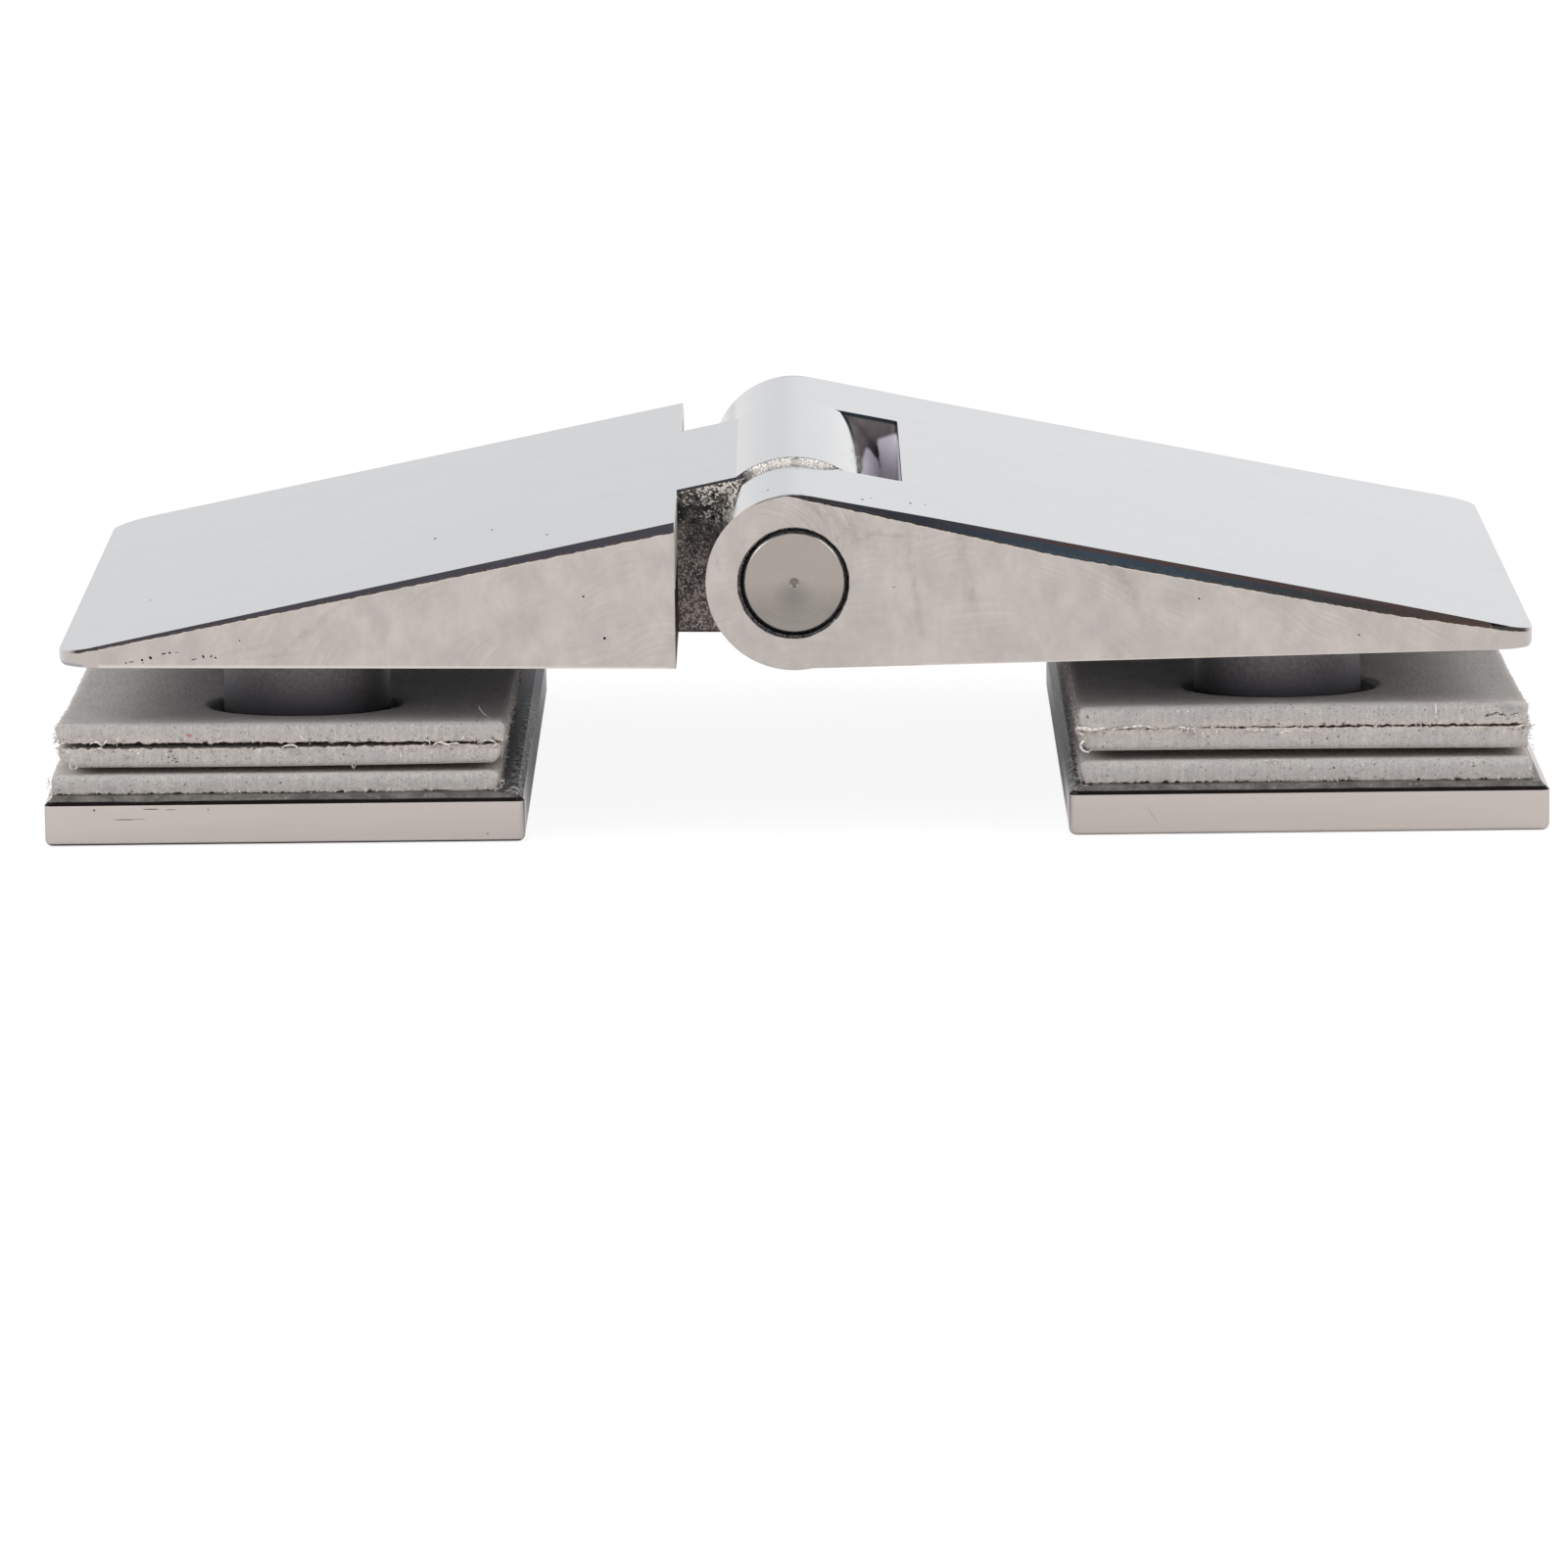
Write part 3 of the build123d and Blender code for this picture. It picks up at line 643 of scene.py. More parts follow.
print("pin steel:", len(tree.nodes), "nodes")

# %% [markdown]
# ## Plate steel
# The clamp plates are polished on their four edges only. Their inner faces keep a dark, pitted
# skin, which shows as a dark band beside the pads. The outer faces have a plain ground finish.
# Dark reflections are painted low on the long bevels and along the left plate's bottom edge, and
# the end faces are painted pale for their reflection.

# %% Zones of a plate
plate_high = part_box("tongue_clamp_plate")[1]
PLATE_TOP = 1000 * plate_high.z
PLATE_IN = -1000 * plate_high.x         # how far from the pin a plate begins
PLATE_BEVEL = 0.8
PLATE_MARKS = ((-65.7, 3.80, 0.85, 0.07, 0), (-63.7, 3.72, 0.6, 0.04, 0),
               (-68.4, 2.75, 1.1, 0.06, 0), (-66.8, 2.78, 0.5, 0.03, 0),
               (-71.5, 3.75, 0.14, 0.13, 0), (-59.9, 3.7, 0.09, 0.09, 0), (-31.5, 0.9, 0.1, 0.1, 0))
PLATE_SLIT = ((36.1, 2.15, 1.15, 0.05, -56),)
plate_finish, shader = new_material("clamp_plate_steel")
place, x, y, z = place_in_mm()
flat_x, flat_y = size_of(x), size_of(y)
left_plate = under(x, 0.0)
along = noise_of(stretched(place, 0.12, 0.5, 2.4), 1.0, 3, 0.6)
slow = noise_of(place, 0.1, 2)
grain = noise_of(place, 2.4, 4, 0.65)
coarse = noise_of(place, 0.55, 3, 0.6)
dust = noise_of(place, 2.1, 4, 0.7)
pits, _ = specks_of(place, 0.5, 0.12, 0.07)
scratches = either_of(front_spots(place, PLATE_MARKS), times(front_spots(place, PLATE_SLIT), 0.4))
outer_face = under(z, 0.02, 0.01)
inner_face = over(z, PLATE_TOP - 0.02, 0.01)
end_face = under(flat_x, PLATE_IN + 0.02, 0.01)
in_bevel = over(z, PLATE_TOP - PLATE_BEVEL + 0.01)
long_bevel = both_of(in_bevel, over(flat_y, -FRONT - PLATE_BEVEL - 0.01))
end_bevel = both_of(in_bevel, under(flat_x, PLATE_IN + PLATE_BEVEL))
skin = either_of(inner_face, long_bevel, end_bevel)
from_top = plus(minus(z, PLATE_TOP), spread(along, -0.05, 0.05))
# painted dark reflections: a line low on the long bevels, and one along the left plate's bottom
# edge
dark_edge_reflection = both_of(over(z, PLATE_TOP - PLATE_BEVEL), under(from_top, -0.44, 0.05),
                     over(flat_y, 44.15))
low_dark_reflection = both_of(under(z, 0.24, 0.06), over(flat_y, 44.0), left_plate)

# %% The strip beside the pads' ends: chalky specks on one plate, black cracks on the other
end_strip = both_of(either_of(inner_face, end_bevel), under(flat_x, PLATE_IN + 2.6, 0.3))
middle_of_chalk = contrast(y, -44, -10, PLATE_IN + 1.15, PLATE_IN + 0.55)
chalk_and_highlight = both_of(left_plate, under(size_of(minus(flat_x, middle_of_chalk)), 0.75, 0.45),
                contrast(dust, 0.5, 0.56))
# a painted highlight along the left plate's end edge, joined to the chalk
edge_highlight = both_of(left_plate, in_bevel, under(flat_x, PLATE_IN + 0.2, 0.04),
                      under(y, -10.0, 8.0))
chalk_and_highlight = both_of(either_of(chalk_and_highlight, edge_highlight), under(y, 10.0, 8.0))
cracks = noise_of(stretched(place, 1.7, 0.9, 1.7), 1.0, 4, 0.65)
cracks = both_of(contrast(cracks, 0.52, 0.47), under(y, -20.0, 10.0),
                 over(flat_x, PLATE_IN + 0.3, 0.2))
dark_strip = blend(chalk_and_highlight, (0.115, 0.115, 0.12), (0.88, 0.87, 0.86))
grey_strip = blend(contrast(dust, 0.35, 0.65), (0.3, 0.295, 0.29), (0.5, 0.485, 0.47))
grey_strip = blend(cracks, grey_strip, (0.02, 0.02, 0.02))
strip = blend(left_plate, grey_strip, dark_strip)

# %% The plates' finish
polished = blend(along, (0.625, 0.62, 0.625), (0.7, 0.695, 0.695))
polished = coated(polished, (spread(slow, 0.0, 0.5), (0.655, 0.64, 0.63)),
                  (pits, (0.25, 0.24, 0.23)), (times(scratches, 0.75), (0.1, 0.09, 0.085)))
ground = blend(along, (0.5, 0.495, 0.49), (0.6, 0.595, 0.59))
skin_colour = blend(contrast(coarse, 0.35, 0.65), (0.18, 0.172, 0.16), (0.33, 0.315, 0.292))
skin_colour = coated(skin_colour, (contrast(grain, 0.6, 0.68), (0.48, 0.47, 0.45)),
                     (end_strip, strip))
# the end faces are painted pale and matt for their reflection
colour = coated(polished, (outer_face, ground), (skin, skin_colour),
                (dark_edge_reflection, (0.02, 0.016, 0.016)), (low_dark_reflection, (0.02, 0.025, 0.06)),
                (end_face, (0.88, 0.89, 0.91)))
rough = blend_value(outer_face, spread(along, 0.1, 0.17), 0.3)
rough = blend_value(either_of(skin, end_face), rough, 0.48)
relief = plus(times(both_of(skin, plus(grain, coarse)), 0.09),
              both_of(end_strip, times(grain, 0.22)), times(pits, -0.04), times(slow, 0.004))
matt_strip = either_of(chalk_and_highlight, times(minus(1.0, left_plate), 0.75))
matt = either_of(both_of(end_strip, matt_strip), end_face)
dress_shader(shader, colour, rough, relief, minus(1.0, matt))
print("plate steel:", len(tree.nodes), "nodes")

# %% [markdown]
# ## Screws, bushes and washers
# The screws are plain zinc-grey steel with fine rings. The bushes and washers are pale plastic,
# a little mottled and scuffed.

# %% The small parts' finishes
screw_finish, shader = new_material("clamp_screw_steel")
place, x, y, z = place_in_mm()
turning = noise_of(stretched(place, 0.4, 0.4, 6.0), 1.0, 3, 0.7)
worn = noise_of(place, 0.8, 3, 0.6)
colour = blend(turning, (0.4, 0.4, 0.41), (0.56, 0.56, 0.57))
colour = blend(contrast(worn, 0.5, 0.7, 0.0, 0.6), colour, (0.28, 0.275, 0.27))
dress_shader(shader, colour, spread(worn, 0.26, 0.42), times(turning, 0.03), 1.0)

plastic_finish, shader = new_material("pale_bearing_plastic")
place, x, y, z = place_in_mm()
mottle = noise_of(place, 0.9, 3, 0.6)
colour = blend(spread(mottle), (0.7, 0.685, 0.65), (0.84, 0.83, 0.8))
dress_shader(shader, colour, spread(mottle, 0.4, 0.6), times(noise_of(place, 3.0, 3), 0.02))

# %% Give the steel and plastic solids their finishes
FINISHES = (("tongue_leaf", tongue_steel), ("fork_leaf", fork_steel), ("clamp_plate", plate_finish),
            ("hinge_pin", pin_finish), ("clamp_screw", screw_finish), ("bush", plastic_finish),
            ("thrust_washer", plastic_finish))
for name, node in nodes.items():
    for ending, finish in FINISHES:
        if name.endswith(ending):
            for material_slot in node.material_slots:
                material_slot.material = finish
            print(name, "is", finish.name)

# %% [markdown]
# ## Fibre board
# The pads are stiff grey board, pressed from waste paper fibre. Its faces are mottled, with dark
# and a few coloured specks. The die pushes one edge round and tears the other, so the cut sides
# show upright streaks, and the torn edge is pale, ragged and hairy. Two numbers stored on each
# point of the mesh, cut and torn, tell the finish where it is on the board.

# %% Marks on the pads' front edges
PAD_FRONT = -43.0
BOARD_MARKS = (
    (-63.5, 8.95, 0.16, 0.07, 30), (-63.9, 8.75, 0.10, 0.10, 0), (-63.3, 8.62, 0.22, 0.08, -20),
    (-63.55, 8.42, 0.12, 0.12, 0), (-63.1, 8.35, 0.14, 0.07, 20), (-63.9, 8.25, 0.10, 0.07, 0),
    (71.0, 11.78, 0.55, 0.12, 18), (71.9, 11.70, 0.45, 0.09, -12), (70.3, 11.62, 0.30, 0.10, 30),
    (73.1, 11.75, 0.5, 0.07, 12), (72.0, 13.96, 1.7, 0.05, 2), (70.6, 13.72, 0.5, 0.05, -6))
BOARD_SMUDGES = ((70.8, 13.2, 2.2, 0.32, 3), (66.2, 13.45, 0.5, 0.25, 0),
                 (64.2, 13.3, 0.3, 0.35, 0), (72.6, 12.4, 1.2, 0.35, -10),
                 (-68.0, 8.8, 0.5, 0.2, 0))
RED_MARK = ((-61.8, 11.03, 0.34, 0.16, -12),)

# %% The board's finish
board_finish, shader = new_material("grey_fibre_board")
place, x, y, z = place_in_mm()
cut, torn = [add_node("Attribute", attribute_name=name).outputs["Fac"] for name in ("cut", "torn")]
cloud = contrast(noise_of(place, 0.3, 3), 0.35, 0.65)
felt = noise_of(place, 5.0, 3, 0.7)
wool = noise_of(place, 1.7, 4, 0.65)
streaks = noise_of(stretched(place, 3.2, 3.2, 0.25), 1.0, 3, 0.6)
warp = noise_of(place, 3.0, 1.0, output="Color")
uneven = moved(place, stretched(warp, 0.4, 0.4, 0.4))
dark_specks, _ = specks_of(uneven, 1.4, 0.42, 0.16)
grains, _ = specks_of(uneven, 2.6, 0.5, 0.12)
tinted_specks, tint = specks_of(uneven, 0.6, 0.34, 0.2)
pale_specks, _ = specks_of(place, 0.9, 0.16, 0.2)
torn_pits, _ = specks_of(stretched(place, 0.8, 1, 1), 1.5, 0.5, 0.24)
# the uneven place is about 0.2 mm off, and so are the marks in it
marks = front_spots(uneven, [(x0 + 0.2, z0 + 0.2, *shape) for x0, z0, *shape in BOARD_MARKS],
                    PAD_FRONT, 0.3)
smudges = front_spots(place, BOARD_SMUDGES, PAD_FRONT, 0.6)
red_mark = front_spots(place, RED_MARK, PAD_FRONT, 0.5)
tints = add_node("ValToRGB", {0: tint})
tints.color_ramp.interpolation = "CONSTANT"
stops = tints.color_ramp.elements
stops[0].position, stops[0].color = 0.0, (0.46, 0.20, 0.17, 1)
stops[1].position, stops[1].color = 0.45, (0.14, 0.26, 0.25, 1)
stops.new(0.75).color = (0.20, 0.24, 0.36, 1)
frayed = both_of(torn, contrast(wool, 0.35, 0.55, 0.35, 1.0))
face = blend(cloud, (0.565, 0.53, 0.505), (0.63, 0.6, 0.575))
inside = blend(cloud, (0.5, 0.498, 0.498), (0.59, 0.572, 0.555))
inside = coated(inside, (contrast(streaks, 0.4, 0.62, 0.0, 0.6), (0.415, 0.42, 0.435)),
                (contrast(streaks, 0.42, 0.28, 0.0, 0.5), (0.7, 0.69, 0.67)))
colour = coated(face, (cut, inside), (contrast(wool, 0.38, 0.7, 0.0, 0.6), (0.68, 0.655, 0.63)),
                (contrast(felt, 0.47, 0.68, 0.0, 0.65), (0.34, 0.325, 0.315)),
                (times(smudges, 0.45), (0.22, 0.23, 0.25)),
                (times(grains, 0.7), (0.22, 0.205, 0.195)),
                (times(dark_specks, 0.75), (0.09, 0.085, 0.08)),
                (times(tinted_specks, 0.7), tints.outputs[0]),
                (times(red_mark, 0.7), (0.45, 0.1, 0.09)),
                (times(frayed, 0.75), (0.7, 0.625, 0.585)),
                (times(pale_specks, 0.8), (0.88, 0.86, 0.83)),
                (both_of(torn, torn_pits), (0.08, 0.065, 0.06)),
                (times(marks, 0.85), (0.045, 0.04, 0.038)))
relief = plus(times(felt, 0.11), times(wool, 0.12), both_of(cut, times(streaks, 0.1)))
dress_shader(shader, colour, 0.92, relief, strength=0.9)
set_inputs(shader, {"Specular IOR Level": 0.2})
print("fibre board:", len(tree.nodes), "nodes")

fibre_finish, shader = new_material("loose_fibre")
place, x, y, z = place_in_mm()
wool = contrast(noise_of(place, 2.4, 2), 0.38, 0.6)
colour = blend(wool, (0.44, 0.4, 0.375), (0.93, 0.9, 0.865))
dress_shader(shader, colour, 0.9, noise_of(place, 9.0, 2), depth=0.02)

# %% [markdown]
# ## The pads' shape
# Each pad is a sheet with two holes for the bosses. Its rim is swept: one short profile, with a
# pressed round edge and a torn edge, goes round the outline, and small random waves move each
# point. Two skins, cut with the holes in them, close the top and the bottom. The middle pads lie
# the other way up, so their torn edge is the upper one.

# %% Sizes of the board, in millimetres
HOLE_RADIUS = 9.9
HOLE_STEPS = 96         # points round a hole
RIM_STEP = 0.17         # between two points of the rim
SKIN_INSET = 1.4        # from the outline to the flat skins
SKIN_STEP = 3.2         # between the inner points of a skin
CORNER = 0.35
# from the round edge to the torn edge: how far in the rim stands, and its share of the thickness
RIM_PROFILE = ((SKIN_INSET, 1.0), (0.85, 0.997), (0.5, 0.98), (0.26, 0.935), (0.1, 0.86),
               (0.02, 0.75), (0.0, 0.62), (0.0, 0.46), (0.0, 0.3), (0.0, 0.17), (0.0, 0.08),
               (0.0, 0.02), (0.12, 0.0), (0.4, 0.0), (SKIN_INSET, 0.0))
HOLE_PROFILE = ((0.9, 1.0), (0.45, 0.99), (0.15, 0.92), (0.0, 0.80), (0.0, 0.4), (0.0, 0.0),
                (0.5, 0.0))


# %% Waves, outlines and heights
def ripple(x, y, z, per_mm, seed):
    """Smooth noise from -1 to 1 at a point in millimetres."""
    return noise.noise(Vector((x * per_mm + 17.3 * seed, y * per_mm - 9.1 * seed,
                               z * per_mm + 3.7 * seed)))


def outline_points(spec, step):
    """Points round a rectangle with small round corners, each with the way out from it."""
    x0, x1, y0, y1 = spec["x0"], spec["x1"], spec["y0"], spec["y1"]
    points = []
    corners = ((x1 - CORNER, y0 + CORNER, -90), (x1 - CORNER, y1 - CORNER, 0),
               (x0 + CORNER, y1 - CORNER, 90), (x0 + CORNER, y0 + CORNER, 180))
    for i, (cx, cy, start) in enumerate(corners):
        for k in range(5):
            a = math.radians(start + 90 * k / 4)
            points.append((cx + CORNER * math.cos(a), cy + CORNER * math.sin(a),
                           math.cos(a), math.sin(a)))
        nx, ny, _ = corners[(i + 1) % 4]
        a = math.radians(start + 90)
        bx, by = cx + CORNER * math.cos(a), cy + CORNER * math.sin(a)
        ex, ey = nx + CORNER * math.cos(a), ny + CORNER * math.sin(a)
        count = max(2, int(math.hypot(ex - bx, ey - by) / step))
        for k in range(1, count):
            t = k / count
            points.append((bx + (ex - bx) * t, by + (ey - by) * t, math.cos(a), math.sin(a)))
    return points


def held_in(spec, x, y, inset):
    """The nearest point to (x, y) that is at least inset inside the pad."""
    return (min(max(x, spec["x0"] + inset), spec["x1"] - inset),
            min(max(y, spec["y0"] + inset), spec["y1"] - inset))


def pad_rise(spec, x, y):
    """How far the pad stands up: its long edges curl, and its front edge lifts a little."""
    half = (spec["y1"] - spec["y0"]) / 2
    middle = (spec["y1"] + spec["y0"]) / 2
    curl = spec["cup"] * ((y - middle) / half) ** 2
    t = min(1.0, max(0.0, (x - spec["x0"]) / (spec["x1"] - spec["x0"])))
    front = max(0.0, (middle - y) / half - 0.55) / 0.45
    at_start, at_end, between = spec["lift"]
    lift = at_start * (1 - t) + at_end * t + between * math.sin(math.pi * t)
    return curl + lift * front * front


def pad_height(spec, share, x, y):
    """Height in millimetres, from a share of the thickness counted up from the torn face."""
    up = 1 - share if spec["flipped"] else share
    return spec["z0"] + up * spec["thick"] + pad_rise(spec, x, y)


# %% A mesh whose parts share their points
class PadMesh:
    """Points and faces of one pad, with a point shared wherever two would fall together."""

    def __init__(self):
        self.bm = bmesh.new()
        self.cut = self.bm.verts.layers.float.new("cut")
        self.torn = self.bm.verts.layers.float.new("torn")
        self.known = {}

    def point(self, x, y, z, cut=0.0, torn=0.0):
        """The point at a place in millimetres, made if it is not there yet."""
        key = (round(x, 5), round(y, 5), round(z, 5))
        if key not in self.known:
            vert = self.bm.verts.new((x / 1000, y / 1000, z / 1000))
            vert[self.cut], vert[self.torn] = cut, torn
            self.known[key] = vert
        return self.known[key]

    def face(self, *corners):
        """A face, unless its corners fall together or it is there already."""
        kept = [v for i, v in enumerate(corners) if v is not corners[i - 1]]
        if len(set(kept)) == len(kept) >= 3:
            if self.bm.faces.get(kept) is None:
                self.bm.faces.new(kept)

    def bands(self, rings):
        """Faces between each ring and the next."""
        for upper, lower in zip(rings, rings[1:]):
            for i in range(len(upper)):
                j = (i + 1) % len(upper)
                self.face(upper[i], lower[i], lower[j], upper[j])


# %% The rim, the holes and the skins
def rim_ring(pad, spec, loop, inset, share):
    """One ring of the rim: its points, moved by the waves that suit their place."""
    ring, seed, depth = [], spec["seed"], share * spec["thick"]
    ragged = max(0.0, 1 - share / 0.35)
    for x, y, out_x, out_y in loop:
        px, py = held_in(spec, x, y, inset)
        if inset == SKIN_INSET:
            ring.append(pad.point(px, py, pad_height(spec, share, px, py)))
            continue
        # waves out from the edge: long, short and finest, and the tear
        end = abs(out_x)
        out = 0.09 * ripple(x, y, 0, 0.22, seed) + 0.05 * ripple(x, y, depth, 1.4, seed + 1)
        out += (0.5 + 0.8 * end) * 0.06 * ripple(x, y, share * spec["thick"] * 1.5, 2.6, seed + 3)
        out += ragged * ((0.13 + 0.12 * end) * ripple(x, y, 0, 1.5, seed + 2) - 0.06 - 0.10 * end)
        px, py = px + out_x * out, py + out_y * out
        for corner_x, pull, reach, edge_share in spec["worn"]:
            near = max(0.0, 1 - abs(px - corner_x) / (abs(pull) + reach))
            near *= max(0.0, 1 - (py - spec["y0"]) / 6)
            px += pull * near * max(0.0, 1 - abs(share - edge_share) / 0.8) ** 1.6
        # the torn edge goes up and down; the lowest pads lie flat, so theirs only goes up
        tatter = 0.10 * ripple(x, y, 0, 1.1, seed + 4) + 0.13 * ripple(x, y, 0, 2.7, seed + 5)
        tatter = ragged * (max(1.9 * tatter, -0.02) if spec["level"] == 0 else 1.25 * tatter)
        pz = pad_height(spec, share, px, py) + (-tatter if spec["flipped"] else tatter)
        ring.append(pad.point(px, py, pz, 1.0 if 0.0 < share < 0.87 else 0.0,
                              ragged if inset < 0.3 else 0.0))
    return ring


def hole_ring(pad, spec, hx, hy, inset, share):
    """One ring of a hole's wall."""
    ring = []
    for k in range(HOLE_STEPS):
        a = 2 * math.pi * k / HOLE_STEPS
        wave = 0.07 * ripple(20 * math.cos(a), 20 * math.sin(a), share, 0.9, spec["seed"] + 6)
        r = HOLE_RADIUS + inset + (wave if 0.0 < share < 1.0 else 0.0)
        px, py = hx + r * math.cos(a), hy + r * math.sin(a)
        ring.append(pad.point(px, py, pad_height(spec, share, px, py), 1.0 if inset < 0.1 else 0.0))
    return ring


def close_skin(pad, spec, share, borders):
    """A skin between the rim's last ring and the holes' rings."""
    corners, edges, owner = [], [], []
    for number, border in enumerate(borders):
        loop = [v for i, v in enumerate(border) if v is not border[i - 1]]
        first = len(corners)
        corners += loop
        owner += [number] * len(loop)
        edges += [(first + i, first + (i + 1) % len(loop)) for i in range(len(loop))]
    flat = [Vector((1000 * v.co.x, 1000 * v.co.y)) for v in corners]
    x0, x1, y0, y1 = spec["x0"], spec["x1"], spec["y0"], spec["y1"]
    across, deep = int((x1 - x0) / SKIN_STEP), int((y1 - y0) / SKIN_STEP)
    for i in range(1, across):
        for j in range(1, deep):
            px, py = x0 + (x1 - x0) * i / across, y0 + (y1 - y0) * j / deep
            if all(math.hypot(px - hx, py - hy) > HOLE_RADIUS + 2.0 for hx, hy in spec["holes"]):
                flat.append(Vector((px, py)))
    points, _, faces, origins, _, _ = delaunay_2d_cdt(flat, edges, [], 0, 1e-6)
    verts, owners = [], []
    for spot, origin in zip(points, origins):
        known = [o for o in origin if o < len(corners)]
        verts.append(corners[known[0]] if known else
                     pad.point(spot.x, spot.y, pad_height(spec, share, spot.x, spot.y)))
        owners.append(owner[known[0]] if known else -1)
    for face in faces:      # a face with points of one hole only lies in the hole
        around = {owners[i] for i in face}
        if len(around) > 1 or around <= {-1, 0}:
            pad.face(*[verts[i] for i in face])


# %% A whole pad
def make_pad(name, spec):
    """The mesh of one pad."""
    pad = PadMesh()
    loop = outline_points(spec, RIM_STEP)
    rings = [rim_ring(pad, spec, loop, inset, share) for inset, share in RIM_PROFILE]
    pad.bands(rings)
    first, last = [rings[0]], [rings[-1]]
    for hx, hy in spec["holes"]:
        walls = [hole_ring(pad, spec, hx, hy, inset, share) for inset, share in HOLE_PROFILE]
        pad.bands(walls)
        first.append(walls[0])
        last.append(walls[-1])
    close_skin(pad, spec, 1.0, first)
    close_skin(pad, spec, 0.0, last)
    bmesh.ops.recalc_face_normals(pad.bm, faces=pad.bm.faces)
    open_edges = sum(1 for e in pad.bm.edges if len(e.link_faces) != 2)
    volume = pad.bm.calc_volume(signed=True) * 1e9
    mesh = bpy.data.meshes.new(name)
    pad.bm.to_mesh(mesh)
    pad.bm.free()
    mesh.shade_smooth()
    print(name, len(mesh.polygons), "faces,", open_edges, "open edges,", round(volume), "cubic mm")
    return mesh


# %% [markdown]
# ## Loose fibres
# The torn edges carry hundreds of short fibres. A Geometry Nodes tree walks along a guide line,
# drops a point every so often, and grows a bent fibre there, turned and sized at random.

# %% The fibre tree
FIBRES = tree = bpy.data.node_groups.new("loose_fibres", "GeometryNodeTree")
FIBRE_INPUTS = {}
for label, kind in (("Guide", "Geometry"), ("Spacing", "Float"), ("Thickness", "Float"),
                    ("Length", "Float"), ("Share", "Float"), ("Seed", "Int"),
                    ("Finish", "Material")):
    socket = tree.interface.new_socket(name=label, in_out="INPUT", socket_type="NodeSocket" + kind)
    FIBRE_INPUTS[label] = socket.identifier
tree.interface.new_socket(name="Fibres", in_out="OUTPUT", socket_type="NodeSocketGeometry")
given = add_node("NodeGroupInput").outputs


def random_of(data_type, limits, output):
    """A random value for each point."""
    return add_node("FunctionNodeRandomValue", {**limits, "Seed": given["Seed"]},
                    data_type=data_type).outputs[output]


# points along the guide line, and three bent fibres to choose from
line = add_node("GeometryNodeMeshToCurve", {"Mesh": given["Guide"]})
spots = add_node("GeometryNodeCurveToPoints", {"Curve": line.outputs[0],
                                               "Length": given["Spacing"]}, mode="LENGTH")
several = add_node("GeometryNodeGeometryToInstance")
for bend, tip in ((0.5, 0.8), (0.9, 0.25), (1.2, -0.35)):
    arc = {"Resolution": 6, "Start": (0, 0, -0.15), "Middle": (0, 0.1 * bend, 0.7),
           "End": (0, 0.8 * bend, tip)}
    arc = add_node("GeometryNodeCurveQuadraticBezier", arc)
    tree.links.new(arc.outputs[0], several.inputs[0])
# a share of the points grows one, turned and sized at random
chosen = random_of("BOOLEAN", {"Probability": given["Share"]}, 3)
which = random_of("INT", {4: 0, 5: 2}, 2)
turn = random_of("FLOAT_VECTOR", {0: (-1.6, -1.6, -3.14), 1: (1.6, 1.6, 3.14)}, 0)
size = random_of("FLOAT", {2: 0.3, 3: 1.0}, 1)
grown = add_node("GeometryNodeInstanceOnPoints", {
    "Points": spots.outputs["Points"], "Selection": chosen, "Instance": several.outputs[0],
    "Pick Instance": True, "Instance Index": which, "Rotation": turn,
    "Scale": maths("MULTIPLY", size, given["Length"])})
# the fibres become thin tubes, as one plain mesh
whole = add_node("GeometryNodeRealizeInstances", {0: grown.outputs[0]})
section = add_node("GeometryNodeCurvePrimitiveCircle", {"Resolution": 5,
                                                        "Radius": given["Thickness"]})
tubes = add_node("GeometryNodeCurveToMesh", {"Curve": whole.outputs[0], "Fill Caps": True,
                                             "Profile Curve": section.outputs[0]})
plain = add_node("GeometryNodeRealizeInstances", {0: tubes.outputs[0]})
finished = add_node("GeometryNodeSetMaterial", {"Geometry": plain.outputs[0],
                                                "Material": given["Finish"]})
add_node("NodeGroupOutput", {0: finished.outputs[0]})
print("the fibre tree takes", list(FIBRE_INPUTS))


def grow_fibres(name, lines, spacing, thickness, length, share, seed):
    """An object with a plain mesh of fibres along lines, which are lists of points in metres."""
    guide = bpy.data.meshes.new(name + "_guide")
    points = [p for line in lines for p in line]
    edges, first = [], 0
    for line in lines:
        edges += [(first + i, first + i + 1) for i in range(len(line) - 1)]
        first += len(line)
    guide.from_pydata(points, edges, [])
    grower = bpy.data.objects.new(name, guide)
    bpy.context.scene.collection.objects.link(grower)
    modifier = grower.modifiers.new("fibres", "NODES")
    modifier.node_group = FIBRES
    for label, value in (("Spacing", spacing), ("Thickness", thickness), ("Length", length),
                         ("Share", share), ("Seed", seed), ("Finish", fibre_finish)):
        modifier[FIBRE_INPUTS[label]] = value
    bpy.context.view_layer.update()
    depsgraph = bpy.context.evaluated_depsgraph_get()
    made = bpy.data.meshes.new_from_object(grower.evaluated_get(depsgraph))
    grower.modifiers.remove(modifier)
    grower.data = made
    made.name = name
    return grower


# %% [markdown]
# ## Strands that came loose
# A few torn strands are long enough to be seen one by one: curls that bridge the gap between two
# pads, slivers that stand upright on a cut face, and one hair on top. Each is a short tube along
# a few points. A point is given as millimetres along x, a share of the pad's thickness counted
# up from its lower face, and millimetres that it stands out from the front face.

